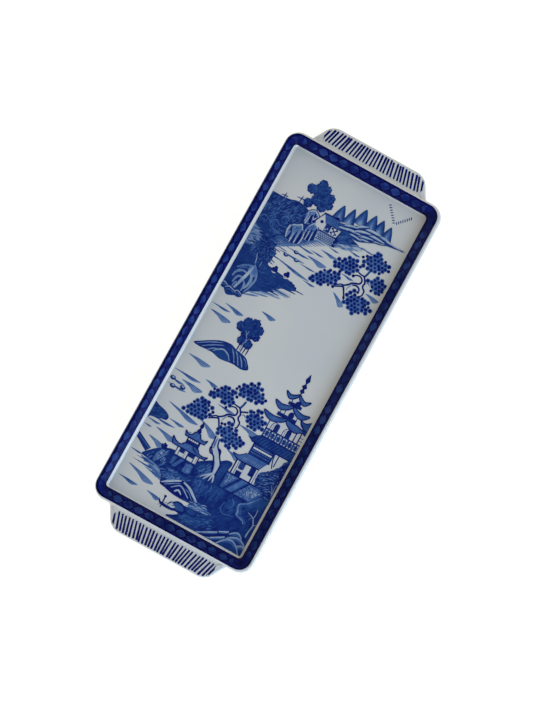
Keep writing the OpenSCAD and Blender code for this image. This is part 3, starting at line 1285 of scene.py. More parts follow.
for u, v, half_u in [(-54.4, 28.0, 3.6), (-48.4, 26.4, 4.6), (-41.8, 26.6, 3.6)]:
    boulders.patch(oval((u, v), half_u, 2.6), 0.86, 8)
    boulders.brush([(u - half_u, v), (u - 0.3 * half_u, v + 2.2), (u + half_u, v + 0.2)], 0.9, 0.28, 9)
    boulders.brush([(u - 0.7 * half_u, v - 1.0), (u, v + 0.4), (u + 0.7 * half_u, v - 0.9)], 0.6, 0.5, 9)

# %% Three crags

crag(
    boulders,
    [
        (-25.2, 108), (-23.8, 111.4), (-19.9, 113.4), (-16.8, 112), (-14.2, 109), (-13.8, 103.8),
        (-16.5, 101.5), (-23.4, 100), (-24.9, 104),
    ],
    [
        [(-18.6, 110.4), (-17.4, 107.4), (-17.2, 104)], [(-20, 109), (-20.4, 105.4), (-19.4, 102)],
        [(-15.6, 108.6), (-15, 104.4)],
    ],
    [
        [(-23, 108.4), (-23.8, 101.6)], [(-21.6, 107), (-22.2, 103), (-22.6, 100)],
        [(-19.4, 108), (-18.2, 105.8), (-16.8, 108.2)],
    ],
    4, hand,
)
crag(
    boulders,
    [
        (-19.5, 99.4), (-17.6, 103), (-14.9, 105), (-12.2, 103.2), (-10.2, 98.5), (-9.9, 93.8),
        (-11.8, 90.8), (-15.7, 89.2), (-18.8, 90.8), (-19.9, 95),
    ],
    [[(-12, 101), (-11.9, 96), (-12, 90.6)], [(-15, 98.4), (-15.1, 89)], [(-17.9, 97.4), (-18, 89.6)]],
    [
        [(-10.2, 100), (-9.9, 92.4)], [(-13.5, 97.6), (-13.5, 89.4)], [(-16.4, 96.8), (-16.6, 89)],
        [(-19.6, 96), (-19.5, 89.6)],
    ],
    6.4, hand,
)
crag(
    boulders,
    [
        (-32.2, 93), (-30.3, 95.8), (-27.2, 96.9), (-23.8, 99.2), (-21.5, 96.2), (-19.2, 93), (-18.9, 87),
        (-21.8, 83.1), (-26.5, 82.7), (-30.7, 84.4), (-31.9, 89),
    ],
    [
        [(-30.4, 94), (-29.6, 89.6)], [(-28.4, 90), (-28.8, 83)], [(-24.8, 91), (-24.9, 81.8)],
        [(-21.2, 94.4), (-20.8, 88), (-21.4, 82.8)],
    ],
    [
        [(-31.8, 94), (-32.2, 89.2), (-30.7, 83.6)], [(-26.6, 89.4), (-26.6, 81.8)],
        [(-23, 92), (-23.2, 82.4)], [(-19.3, 94), (-18.9, 87.6), (-19.8, 83)],
    ],
    8.8, hand,
)
boulders.lay()

# %% The leafy tree on the hill

leafy_tree = Motif("leafy_tree")
crown(
    leafy_tree,
    [
        (-24.2, 134.2, 3.4), (-19.2, 131.8, 3.0), (-30.4, 126.9, 3.9), (-24.6, 128.4, 5.2),
        (-14.2, 126.4, 3.9), (-18.6, 125.4, 4.4), (-28, 115.6, 3.7), (-12.8, 121, 3.4), (-22.6, 121, 4.8),
        (-17.2, 117.4, 3.8), (-16.4, 121.4, 3.6),
    ],
    0.76, random.Random(5), coat=3, edge=0.12,
)
leafy_tree.lay()

# %% [markdown]
# ### The house behind the garden wall
# A hatched roof, a white gable with a round window, a lattice door and a wall of overlapping scales.

# %% The house

house = Motif("house")
house.block([(-12.4, 114.2), (-16, 106.0), (-14.4, 102.6), (-8, 102.6), (-8.6, 109)], 0.05, 8)
house.brush([(-12.2, 114.8), (-16.6, 105.6)], 0.9, 0.92, 9, ends=(1, 0.6))
house.dots([(-11.5, 107.8)], 1.4, 0.92, 9)
house.block(box_outline(-9.4, 4.2, 101.6, 108.8), 0.06, 8)
house.block(box_outline(-7.6, -2.8, 102, 108.2), 0.88, 9)
house.dots([(-6.6, 103.6), (-5, 104.6)], 0.7, 0.3, 10)
for lean in (38, -38):
    house.hatch(box_outline(-2.2, 3.2, 102.4, 107.8), lean, 2.6, 0.95, 0.95, 9)
house.block([(-12.2, 114.8), (0.6, 114.8), (5.8, 111.2), (5, 108.4), (-8.6, 108.2)], 0.52, 10)
house.hatch([(-11.6, 114.4), (0.4, 114.4), (4.6, 109), (-8.6, 108.6)], -48, 1.25, 0.5, 0.7, 11)
house.brush([(-12.6, 114.9), (-4, 115.2), (2, 115)], 1.2, 0.96, 12, ends=(1, 0.6))
house.line([(-8.8, 108.3), (-2, 108.1), (4.8, 108.4)], 0.6, 0.92, 12)
house.patch([(-3.6, 114.6), (-3.2, 116.4), (-0.8, 116.8), (-0.2, 114.8)], 0.92, 11)
house.block(box_outline(-10.4, 4.2, 92.9, 101.2), 0.26, 8)
for row in range(5):
    for column in range(8):
        u = -9.4 + 1.85 * column + 0.9 * (row % 2)
        v = 93.9 + 1.5 * row
        house.brush([(u - 0.9, v), (u, v + 1.0), (u + 0.9, v)], 0.62, 0.9, 9, ends=(0.7, 0.7))
house.line([(-10.6, 101.3), (4.8, 101.3)], 0.9, 0.94, 10)
house.block([(3.8, 102), (5.6, 108.6), (6.6, 94.2), (4.2, 94)], 0.94, 10)
house.lay()

# %% [markdown]
# ### Firs on a rocky spit
# Six firs stand in a row, dark at the sides and pale towards the foot. The spit below them is a pile of
# flat rocks, each dark underneath and white along its upper edge.

# %% The firs

firs = Motif("firs")
for order, (u, v, height, half) in enumerate([
    (-1.6, 127.4, 12.4, 4.6), (6.9, 128.8, 13.0, 4.5), (38.6, 129.8, 11.0, 4.3),
    (31.0, 131.8, 12.4, 4.8), (24.0, 132.4, 12.6, 4.9), (15.2, 132.8, 13.4, 5.0),
]):
    coat = 1 + 1.8 * order
    side = [(0.26 * half, -0.15), (0.6 * half, -0.44), (0.9 * half, -0.78), (1.06 * half, -1.0)]
    right = [(u + a, v + b * height) for a, b in side]
    left = [(u - a, v + b * height) for a, b in reversed(side)]
    firs.patch([(u, v + 0.3)] + right + left, 0.72, coat)
    for edge in ([(u, v + 0.3)] + right, left + [(u, v + 0.3)]):
        firs.brush(edge, 0.7, 0.88, coat + 1.6, ends=(0.8, 0.8))
    for step, share in enumerate((0.78, 0.56, 0.36)):
        inner = [
            (u, v - (1 - share) * height), (u + share * half, v - height), (u - share * half, v - height),
        ]
        firs.block(inner, 0.56 - 0.11 * step, coat + 0.4 + 0.4 * step)
    for sign in (-1, 1):
        for k in range(6):
            start = (u + sign * 0.08 * half, v - height * (0.12 + 0.12 * k))
            end = (u + sign * half * (0.28 + 0.12 * k), v - height * (0.34 + 0.12 * k))
            firs.brush([start, end], 0.45, 0.66, coat + 1.6)
firs.lay()

# %% A flat rock


def flat_rock(motif, u, v, half_u, half_v, lean, coat):
    """A low rock: a blue lens, white along its upper edge and dark underneath."""

    def laid(path):
        return [(u + a, v + b) for a, b in turned([(half_u * p, half_v * q) for p, q in path], lean)]

    motif.patch(laid([(-1, 0), (-0.4, 1), (0.4, 0.8), (1, 0), (0, -1)]), 0.66, coat)
    motif.brush(laid([(-0.9, 0.1), (-0.2, 0.6), (0.8, 0.3)]), 0.95 * half_v, 0.2, coat + 1)
    motif.brush(laid([(-0.7, -0.2), (0.1, 0.1), (0.9, 0)]), 0.6 * half_v, 0.46, coat + 0.6)
    motif.brush(laid([(-0.9, -0.5), (0.1, -0.7), (1, -0.2)]), 0.55 * half_v, 0.97, coat + 2)


# %% The spit

spit = Motif("spit")
spit.patch([
    (0.5, 113.4), (8, 115.6), (14, 118), (22, 120.6), (28, 121.2), (34, 120.8), (42, 119.2), (48, 118.4),
    (57, 118), (50, 116.6), (42, 115.4), (34, 113.2), (26, 109.6), (20, 107.4), (8, 107.6), (2, 110.5),
], 0.74, 12)
for rock in [
    (38.5, 118.5, 10.5, 1.5, -6), (27.5, 119.4, 8.0, 1.6, 5), (19, 119.2, 5.5, 1.5, 27),
    (47.5, 117.6, 8.0, 0.8, -2), (11.5, 115.4, 7.0, 1.4, 14), (32, 116, 9.0, 1.5, 0),
    (21, 115.6, 7.5, 1.5, 16), (13.5, 112.2, 8.0, 1.5, 4), (25, 112.8, 7.5, 1.3, 12),
    (35, 114, 6.0, 1.0, 10), (6.0, 110.8, 4.5, 1.2, 6), (17.5, 109.4, 6.0, 1.1, -4),
    (25, 110.6, 4.5, 0.9, 8),
]:
    flat_rock(spit, *rock, coat=13)
spit.patch([
    (5.4, 108.8), (11, 108.4), (17, 106.8), (23.4, 104.8), (22.6, 103.2), (16, 101.4), (13, 99), (9, 97.2),
    (6, 96.4),
], 0.86, 9)
spit.strokes(
    [(6, 108), (14, 106.6), (21, 104), (14, 101), (9, 98), (6.4, 97.4)], 46, 3.0, 0.55, 20, (0.58, 0.7), 10,
    hand,
)
spit.strokes([(8, 98), (24, 105), (27, 103.4), (10, 94.6)], 34, 8.0, 0.8, 10, (0.34, 0.56), 11, hand)
spit.strokes([(8, 97), (22, 103), (25, 102), (10, 95)], 12, 6.0, 0.6, 10, (0.14, 0.22), 11.6, hand)
spit.lay()

# %% [markdown]
# ### The island and the near tree
# A rocky islet with a single broad tree lies in the middle of the river. The second dotted tree leans
# over the water, with a white trunk that twists up from its roots.

# %% The island

hand = random.Random(8)
island = Motif("island")
island.patch([
    (-53.6, -22.3), (-48.8, -18.9), (-41.3, -14.3), (-33.8, -11), (-26.8, -10.2), (-22, -11.8),
    (-12.8, -13.8), (-8.8, -17.3), (-6.2, -21.6), (-11.3, -23.8), (-18.8, -23.2), (-29.7, -24.4),
    (-38, -22.8), (-48.8, -23.4),
], 0.88, 2)
for foot, crest in [
    ((-51, -22), (-33.5, -12.4)), ((-46.5, -22.2), (-31.5, -13.8)), ((-41.5, -22.6), (-33.6, -18)),
    ((-18.4, -22), (-24.6, -12.8)), ((-14.6, -22.4), (-21.2, -13)), ((-11.2, -22.2), (-17.2, -14.6)),
    ((-8.2, -21), (-13.6, -15)),
]:
    middle = ((foot[0] + crest[0]) / 2, (foot[1] + crest[1]) / 2 + 0.8)
    island.brush([foot, middle, crest], 1.0, 0.42, 3, ends=(0.6, 0.3))
    island.brush([(u + 0.6, v - 0.8) for u, v in (foot, middle, crest)], 0.6, 0.98, 3)
island.patch([
    (-37.2, -21.6), (-34.6, -18.8), (-30.4, -16.8), (-25.6, -18.6), (-22.4, -22.6), (-30, -24),
], 0.78, 4)
island.brush([(-37.4, -21.6), (-34.6, -18.8), (-30.4, -16.7), (-25.4, -18.6), (-22.2, -22.6)], 1.2, 0.32, 5)

# %% The tree on the island

crown(
    island,
    [
        (-26.8, 6, 4.0), (-23.4, 11, 3.8), (-17.8, 12.6, 3.8), (-13.2, 9, 3.8), (-13, 3.4, 3.2),
        (-21.4, -3.6, 3.6), (-16, -4.4, 3.6), (-19.6, 5, 6.4),
    ],
    0.84, hand, coat=4, edge=0.1,
)
for path in [
    [(-19.6, -11.6), (-19.4, -5.6), (-18.4, -2.6), (-20.4, 2.2), (-22.6, 4.6)],
    [(-18.4, -2.6), (-16.6, 0.6)], [(-20.2, 1.8), (-19.6, 5.4)],
]:
    island.brush(path, 0.7, 0.36, 15, ends=(1, 0.3))
for u in (-21.6, -18.4, -16.2, -13.6):
    island.brush([(u, -6), (u + 0.2, -9), (u - 0.1, -12.6)], 0.9, 0.95, 6, ends=(1, 0.6))
island.lay()

# %% The near tree

near_tree = Motif("near_tree")
for outline in [
    [
        (5, -26.2), (12, -29.4), (17.8, -35.2), (12.6, -41.2), (5, -42.6), (-2, -42), (-6.8, -38.2),
        (-4.2, -33), (1, -30),
    ],
    [
        (-10, -40.2), (-2.6, -44), (-4.6, -52), (-6.6, -55.4), (-14, -52.4), (-24.8, -52), (-22, -46.4),
        (-17, -42.2),
    ],
    [
        (-25.6, -56.6), (-15, -59.6), (-14.4, -66), (-16, -70.4), (-24, -74), (-36, -71.4), (-34.6, -65.4),
        (-30, -60),
    ],
    [(17, -44.4), (26.2, -50.6), (24.4, -58.4), (16.6, -61.6), (11.4, -57.4), (9.6, -50.4)],
    [(-0.6, -63.6), (8, -66), (19.6, -73.4), (11.2, -81.4), (1.2, -78.6), (-3.8, -76), (-6, -70.6)],
]:
    leaf_cluster(near_tree, outline, hand)
branches(near_tree, -35.6, -136)

# %% Its trunk and roots

wood_left = [
    (-3, -77.6), (-2.5, -82.6), (-2.2, -86), (0.6, -90.6), (2.9, -92.6), (4.3, -95.4), (5.8, -98.6),
    (6.8, -101.9), (7.6, -105.4),
]
wood_right = [
    (0.4, -78.4), (1.4, -82.9), (3, -85.4), (5.4, -88), (7.1, -90.8), (8.9, -93.3), (10.6, -96.4),
    (10.6, -100.4), (10.4, -105),
]
near_tree.patch(wood_left + wood_right[::-1], 0.14, 7)
near_tree.brush([(-1.3, -78.6), (-1, -83), (-0.4, -87)], 1.4, 0.5, 7.6)
near_tree.brush([(4.6, -94.4), (6.6, -98.6), (7.8, -103)], 0.9, 0.42, 7.6)
for path in (
    wood_left, wood_right, [(-2.2, -85.6), (-2.5, -88.4), (-0.8, -91), (1.4, -91)],
    [(3, -85.4), (5.4, -86.2), (6.6, -89.4)],
):
    near_tree.brush(path, 1.3, 0.97, 8.2, ends=(0.8, 0.8))
near_tree.brush([(-1.4, -87.6), (1.6, -88.6), (4, -88)], 0.9, 0.16, 8.8)
for foot in [(0.7, -110.8), (3.6, -111.2), (8, -110.8), (11.4, -110.6)]:
    near_tree.brush([(8.8, -103.6), ((9 + foot[0]) / 2 + 0.3, -106.8), foot], 1.2, 0.22, 10, ends=(1, 0.3))
    near_tree.brush([(8.2, -105.6), ((7.4 + foot[0]) / 2, -108.4), (foot[0] - 1.2, foot[1])], 0.8, 0.97, 9)
near_tree.brush([(10.5, -104), (11.6, -108), (12.7, -111.2)], 1.2, 0.97, 9)
near_tree.lay()

# %% [markdown]
# ### Pagodas
# The buildings have swept roofs with upturned tips, storeys with arches or posts, and railings of fretwork.
# Two helpers draw the roofs, so that they belong together: a whole roof from its ridge and its two tips,
# and half of a curled roof from its peak and its tip.

# %% Swept roofs


def swept_roof(motif, ridge_left, ridge_right, tip_left, tip_right, eave, coat, hand):
    """A roof that sags from its ridge to the eave and turns up at both tips."""
    outline = [ridge_left]
    for ridge, tip, sign in ((ridge_right, tip_right, 1), (ridge_left, tip_left, -1)):
        run = tip[0] - ridge[0]
        side = [
            (ridge[0] + 0.3 * run, ridge[1] - 0.56 * (ridge[1] - eave)),
            (tip[0] - 0.3 * run, tip[1] - 0.42 * (tip[1] - eave)), tip,
            (tip[0] - 0.12 * run, tip[1] - 0.75 * (tip[1] - eave)), (tip[0] - 0.35 * run, eave),
        ]
        outline += [ridge] * (sign == 1) + side[::sign]
    motif.patch(outline, 0.6, coat)
    rim = smooth(outline, closed=True)
    motif.line(rim[::2] + [rim[0]], 0.9, 0.98, coat + 1)
    motif.strokes(shrunk(rim, 0.7), 14, 3.0, 0.6, 40, (0.45, 0.56), coat + 0.5, hand)


def lobe_roof(motif, peak, tip, eave, coat, sag=0.5):
    """Half of a curled roof: a crescent between its inner peak and its upturned tip."""
    run, fall = tip[0] - peak[0], peak[1] - eave
    outline = [
        peak, (peak[0] + 0.26 * run, peak[1] - 0.6 * sag * fall),
        (peak[0] + 0.62 * run, peak[1] - sag * fall), tip, (peak[0] + 0.86 * run, eave + 0.3 * fall),
        (peak[0] + 0.6 * run, eave), (peak[0] + 0.3 * run, eave + 0.16 * fall),
        (peak[0] + 0.04 * run, peak[1] - 0.42 * fall),
    ]
    motif.patch(outline, 0.62, coat)
    rim = smooth(outline, closed=True)
    motif.line(rim[::2] + [rim[0]], 0.85, 0.98, coat + 1)
    motif.brush([(u, v - 0.3 * fall) for u, v in outline[1:3]], 1.0, 0.5, coat + 0.5)


# %% Posts and finials


def posts(motif, places, low, high, width, tone, coat):
    for u in places:
        motif.block(box_outline(u - width / 2, u + width / 2, low, high), tone, coat)


def finial(motif, u, stages):
    """A spire of diamonds given as (top, foot, half width)."""
    for top, foot, half in stages:
        middle = top + (foot - top) * 0.6
        motif.block([(u, top), (u + half, middle), (u, foot), (u - half, middle)], 0.97, 8)


# %% The small pagoda

small_pagoda = Motif("small_pagoda")
finial(small_pagoda, -16.0, [(-72.6, -79.6, 1.6), (-77.6, -83.4, 2.0)])
swept_roof(small_pagoda, (-17.8, -82.4), (-14.2, -82.4), (-25.2, -84.6), (-6.8, -84.6), -88.4, 12, hand)
small_pagoda.block(box_outline(-21.6, -10.4, -94.0, -88.0), 0.93, 8)
small_pagoda.dots([(-20 + 1.75 * k, -89.7) for k in range(5)], 0.75, 0.06, 9, sides=8)
swept_roof(small_pagoda, (-20.6, -93.2), (-11.2, -93.2), (-31.8, -93.0), (-0.8, -95.8), -98.4, 12, hand)
small_pagoda.brush([(-15, -92.8), (-13.2, -95.4), (-8.6, -97)], 1.0, 0.9, 15)
small_pagoda.block(box_outline(-25.2, -5.8, -105.2, -97.8), 0.9, 8)
posts(small_pagoda, [-23.6, -16.6, -8.6], -104.6, -98.4, 1.6, 0.06, 10)
posts(small_pagoda, [-18, -7.2], -104.6, -98.4, 0.6, 0.06, 10)
for left, right in [(-22.2, -18.4), (-14.6, -10.2)]:
    small_pagoda.block(box_outline(left, right, -104.6, -101.8), 0.08, 9)
small_pagoda.block([(-27.4, -105), (-4.6, -105), (-4.8, -112.6), (-8, -115.6), (-27.0, -114.8)], 0.92, 8)
small_pagoda.block([(-24.8, -112.8), (-22.6, -112.8), (-21.4, -106.2), (-24.6, -106.4)], 0.62, 9)
small_pagoda.block([(-22.6, -113.8), (-19.8, -113.8), (-15.4, -105.8), (-18.2, -105.8)], 0.58, 9)
small_pagoda.block([(-13.4, -107), (-7.4, -106.6), (-7.0, -112.4), (-10, -114.4), (-13.4, -114)], 0.58, 9)
small_pagoda.strokes([
    (-13, -107.4), (-7.6, -107), (-7.4, -112), (-13, -113.6),
], 16, 2.4, 0.6, 55, (0.4, 0.52), 10, hand)
small_pagoda.lay()

# %% The tower of the large pagoda

tower = Motif("pagoda_tower")
axis = 38.7
finial(tower, axis, [(-0.8, -10.2, 2.0), (-8.8, -14.4, 2.2), (-12.8, -18.2, 2.1)])
tower.line([(axis, -9), (axis, -20)], 0.8, 0.97, 8)
for side in (-1, 1):
    lobe_roof(tower, (axis + 0.2 * side, -18.6), (axis + side * 10.4, -20.4), -25.2, coat=10)
    lobe_roof(tower, (axis + 0.3 * side, -28.8), (axis + side * 14.8, -30.4), -35.8, sag=0.38, coat=10)
lobe_roof(tower, (axis - 0.2, -40.2), (19.8, -41.4), -46.9, sag=0.34, coat=10)
lobe_roof(tower, (axis + 0.2, -40.6), (54.6, -43.0), -46.9, sag=0.1, coat=10)
tower.block([(33.6, -28.8), (33.8, -25), (38.7, -21), (44, -25), (44.6, -28.8)], 0.06, 5)
tower.block(box_outline(33.4, 44.8, -29.4, -26.8), 0.93, 6)
tower.patch(oval((40.8, -26.4), 2.3, 2.6), 0.95, 7)
posts(tower, [35.4], -26.8, -24.4, 0.7, 0.9, 7)
tower.dots([(36 + 1.0 * k, -26.6) for k in range(4)], 0.4, 0.9, 7, sides=6)
tower.block([(29.8, -40.8), (31.4, -35), (38.7, -30.5), (46, -35), (46.4, -40.8)], 0.06, 5)
tower.block(box_outline(29.6, 46, -40.8, -37.8), 0.93, 6)
tower.patch(oval((40.2, -36.4), 2.3, 2.8), 0.95, 7)
posts(tower, [31.2, 34.6, 45.4], -38, -34.4, 0.7, 0.9, 7)
tower.patch([(48.6, -36.2), (52.6, -36.6), (57.3, -33.8), (57.3, -41.6), (53, -41.2), (50, -39.4)], 0.66, 5)
tower.line([(48.4, -35.8), (51, -38.8), (53.4, -41), (57.3, -41.6)], 0.9, 0.97, 6)
tower.line([(48.8, -35.8), (53, -36.4), (57.3, -33.8)], 0.8, 0.95, 6)
tower.patch([(52.6, -41.4), (57.3, -41.6), (57.3, -45.4), (54, -44)], 0.93, 7)
tower.lay()

# %% [markdown]
# Below the tower stand an arcade with two doors, a fretwork railing and a long hatched roof, then the
# lower house with its own roof, its lattice window and a stair down the stone terrace.

# %% The arcade

arcade = Motif("pagoda_arcade")
arcade.block(box_outline(27.2, 57.3, -53.6, -43.4), 0.05, 4)
posts(arcade, [27.5], -53.6, -46, 0.8, 0.9, 6)
posts(arcade, [50.6, 54.2], -53.6, -43.4, 1.0, 0.95, 6)
for left in (30.4, 40.6):
    arcade.line([
        (left, -53.4), (left + 0.2, -49.4), (left + 1.8, -46.9), (left + 3.6, -46.6),
    ], 0.6, 0.85, 6)
    arch = arc((left + 4.6, -48.6), 2.0, 0, 180, 10)
    arcade.block([(left + 6.6, -53.6)] + arch + [(left + 2.6, -53.6)], 0.93, 6)
    arcade.line([(left + 1.6, -53.2), (left + 1.7, -48.6)], 0.4, 0.5, 5)
for level in (-48, -50.6):
    arcade.line([(54, level), (57.3, level)], 0.5, 0.85, 6)

# %% The fretwork railing

arcade.block(box_outline(27.0, 57.3, -60.8, -53.6), 0.42, 4)
for level in (-53.6, -60.4):
    arcade.line([(27, level), (57.3, level)], 0.9, 0.95, 7)
for column in range(6):
    left = 27.6 + 5.0 * column
    for path in [
        [(left, -54), (left + 5, -60)], [(left + 5, -54), (left, -60)],
        [(left + 0.1, -54), (left + 0.1, -60)], [(left + 2.5, -54.6), (left + 2.5, -59.6)],
    ]:
        arcade.line(path, 0.85, 0.92, 6)
    arcade.block([(left + 1.2, -57), (left + 2.5, -55.4), (left + 3.8, -57), (left + 2.5, -58.6)], 0.85, 6)
    arcade.dots([
        (left + 1.2, -55), (left + 3.8, -55), (left + 1.2, -59.2), (left + 3.8, -59.2),
    ], 0.55, 0.06, 8, sides=6)
arcade.lay()

# %% The long roof

lower_house = Motif("pagoda_house")
lower_house.block([
    (18.6, -65.4), (21.6, -65.0), (24, -62.6), (26.2, -60.8), (57.3, -60.8), (57.3, -67.8), (25, -67.8),
    (21, -67),
], 0.86, 7)
lower_house.hatch([(26, -61.6), (57.3, -61.4), (57.3, -67.2), (23.4, -67.2)], 58, 2.3, 0.6, 0.7, 8)
lower_house.brush([(18.4, -65.2), (22.6, -67.4), (26, -67.9), (57.3, -67.9)], 0.8, 0.98, 9, ends=(0.5, 1))

# %% The lower house and its roof

lower_house.block(box_outline(24.8, 43.4, -78, -67.8), 0.92, 6)
for level in (-69.6, -73.4, -75.4):
    lower_house.dots([(26.4 + 1.25 * k, level) for k in range(13)], 0.42, 0.5, 7, sides=6)
lower_house.block(box_outline(26.4, 42.2, -72.2, -70.9), 0.06, 7)
lower_house.block([(43.4, -67.8), (57.3, -67.8), (57.3, -84), (45.8, -84), (39, -84), (42, -78)], 0.06, 4)
lower_house.line([(43.6, -67.8), (44.2, -73.4), (46.4, -79.4)], 0.9, 0.94, 6)
lower_house.line([(47, -68), (47, -77.6)], 0.9, 0.9, 6)
lower_house.block([
    (14.4, -82.2), (19.6, -82.0), (24.2, -78), (42.4, -77.8), (40.6, -80.6), (38.4, -84.8), (20.6, -85.2),
], 0.58, 8)
lower_house.hatch([(24.6, -78.6), (41.6, -78.4), (38.2, -84.4), (20.6, -84.8)], 64, 1.4, 0.45, 0.72, 9)
lower_house.hatch([(24.6, -81), (39, -81), (38, -84), (22, -84)], 64, 1.4, 0.5, 0.42, 9)
lower_house.brush([(14.2, -82.0), (20.0, -85.2), (29, -85.3), (38.6, -84.8)], 1.0, 0.97, 10, ends=(0.6, 1))
lower_house.line([(14.6, -82.0), (19.6, -81.8), (24.2, -77.9)], 0.7, 0.95, 10)
lower_house.lay()

# %% The room

terrace = Motif("pagoda_terrace")
terrace.block(box_outline(19.2, 42.0, -97.2, -84.8), 0.07, 5)
posts(terrace, [19.8, 36.2], -97.2, -84.8, 1.2, 0.94, 6)
posts(terrace, [22, 38.2], -97.2, -84.8, 0.5, 0.8, 6)
terrace.block(box_outline(23, 27.8, -97, -85), 0.88, 6)
terrace.block([
    (22.6, -90.2), (24, -91.4), (26.8, -91.4), (28.2, -90.2), (28.2, -92.8), (22.6, -92.8),
], 0.12, 7)
terrace.patch(oval((25.4, -94.8), 2.2, 1.8), 0.95, 7)
for lean in (40, -40):
    terrace.hatch(box_outline(23.2, 27.8, -90, -86), lean, 1.7, 0.4, 0.6, 7)
terrace.block(box_outline(32.2, 36, -92.6, -84.8), 0.94, 6)

# %% The stone terrace and its stair

terrace.block([(16.8, -97), (46.6, -97), (50, -101.4), (42.0, -110.6), (17.0, -110.6)], 0.64, 5)
for outline, count, radius, tone in [
    ([(18.6, -98.4), (26.6, -98.4), (20.6, -108.4), (18.8, -108.4)], 70, 0.32, 0.42),
    ([(20, -99), (25.4, -99), (21.6, -105), (20, -105)], 40, 0.3, 0.25),
    ([(37.6, -98.4), (47.6, -100.2), (42.2, -109.6), (30, -109.8)], 190, 0.32, 0.42),
    ([(40, -99.6), (48.4, -101), (43, -107), (37, -107)], 90, 0.3, 0.25),
]:
    terrace.scatter(outline, count, radius, tone, 6, hand)
terrace.block([(20.8, -110.4), (28.6, -110.4), (37.4, -97.2), (30, -97.2)], 0.74, 7)
terrace.block([(23, -109.8), (27.4, -109.8), (35.4, -97.8), (31.2, -97.8)], 0.5, 8)
for path, width, tone in [
    ([(20.4, -110.4), (29.6, -97.2)], 1.2, 0.93),
    ([(28.8, -110.4), (37.8, -97.2)], 1.2, 0.93),
    ([(16.8, -97.2), (46.4, -97.2)], 1.0, 0.97),
    ([(17.0, -110.6), (42, -110.6)], 0.9, 0.95),
    ([(17.2, -97.2), (17.2, -110.6)], 1.0, 0.95),
]:
    terrace.line(path, width, tone, 9)
terrace.lay()

# %% [markdown]
# ### The near bank
# The foreground is a dark, washed bank with a feathery bush, a mound of white-edged rocks and a bare tree
# with pale branches. A small boat lies moored beside a round rock.

# %% The feathery bush

bush = Motif("feather_bush")
leafage = [
    (54, -69.6), (57.3, -69.4), (57.3, -105), (51, -102), (46, -97.6), (41, -96.6), (39.4, -91.6),
    (40, -86.4), (44, -83.4), (47.6, -80.2), (51.4, -75.6),
]
bush.patch(leafage, 0.76, 9)
bush.strokes(leafage, 190, 1.8, 0.55, 20, (0.4, 0.56), 10, hand)
bush.strokes(leafage, 260, 1.9, 0.6, 40, (0.94, 1), 10.4, hand)
bush.strokes([(54.4, -70), (57.3, -70), (57.3, -96), (54, -90)], 60, 2.6, 0.7, 70, (0.96, 1), 11, hand)
for path in [
    [(56.8, -99), (54.6, -93.4), (52.4, -90.6)], [(56.4, -97), (55.8, -92), (56.4, -88.6)],
    [(55.8, -96), (54, -95.4), (52.2, -95.6)],
]:
    bush.brush(path, 0.55, 0.4, 12, ends=(1, 0.3))
bush.lay()

# %% The bank

near_bank = Motif("near_bank")
bank = [
    (-47, -116.4), (-42.1, -110.6), (-37, -106.4), (-30, -103), (-24, -102.4), (-10, -103), (-2.4, -99.0),
    (3.6, -95.4), (6.4, -95.6), (10, -92.4), (14, -89.8), (18.5, -90.4), (19.0, -99.0), (34, -100.2),
    (49.0, -99.4), (62, -102.6), (62, -155), (-2, -155), (-8, -149.2), (-3, -146), (1.6, -142.4), (0, -137),
    (5, -135.6), (14, -134.8), (22.6, -132.6), (14, -131.4), (6, -131.8), (-12, -131.6), (-23, -129.4),
    (-25.6, -124.6), (-29.4, -120.4), (-34, -118.6), (-41, -117.6),
]
near_bank.patch(bank, 0.88, 2)
for outline, tone in [
    ([(14, -112), (22, -111.4), (24, -116), (20, -122), (13, -124), (11, -118)], 0.68),
    ([(30, -116), (37, -114), (38, -122), (32, -127), (26, -124)], 0.7),
    ([(1, -110), (8, -112), (12, -120), (8, -126), (1, -124), (-2, -116)], 0.66),
    ([(-22, -116), (-10, -117), (-6, -121), (-16, -125), (-24, -122)], 0.66),
    ([(42, -104), (50, -103), (56, -108), (50, -115), (43, -116), (41, -111)], 0.68),
    ([(-1, -101), (4, -98), (6, -103), (2, -108), (-4, -107)], 0.64),
    ([(10, -138), (20, -136), (22, -141), (14, -146), (5, -147), (3, -142)], 0.7),
    ([(11, -95), (17, -93), (17, -103), (12, -106)], 0.7),
]:
    near_bank.patch(outline, tone + 0.1, 2.4)
    near_bank.patch(shrunk(outline, 0.6), tone + 0.06, 2.8)

# %% Grass on the bank

open_ground = [
    (-40, -112), (-30, -105), (-4, -104), (6, -97), (16, -93), (17, -111), (44, -112), (56, -112),
    (56, -138), (30, -140), (22, -131), (0, -130), (-22, -127), (-30, -118),
]
near_bank.strokes(open_ground, 120, 3.4, 0.6, 50, (0.7, 0.8), 3, hand)
near_bank.strokes(open_ground, 200, 3.2, 0.6, 70, (0.9, 1), 3, hand)
for path in [
    [(27.3, -118.7), (26.4, -122), (26.7, -125.3), (30.7, -127.3), (38, -125.3)],
    [(12, -112.6), (13.3, -116), (10, -120.7)], [(17.6, -112), (16.8, -120)],
    [(31, -113.6), (34, -117), (33, -121)], [(-1, -117), (3, -113.6), (4, -120)],
]:
    near_bank.brush(path, 1.0, 0.6, 3.4)
for outline, count, length, width, lean, tones in [
    ([(-44, -116), (-36, -108), (-28, -105), (-28, -118)], 40, 4.0, 0.8, 65, (0.42, 0.58)),
    ([(-28, -117), (-4, -117), (-6, -123), (-20, -127), (-27, -123)], 50, 4.0, 0.8, 30, (0.45, 0.6)),
    ([(-2, -106), (4, -99), (8, -103), (5, -111), (0, -112)], 30, 4.0, 0.8, 60, (0.45, 0.6)),
    ([(0, -142), (22, -134), (30, -140), (22, -150), (0, -150)], 70, 3.0, 0.6, 25, (0.56, 0.7)),
]:
    near_bank.strokes(outline, count, length, width, lean, tones, 3, hand)

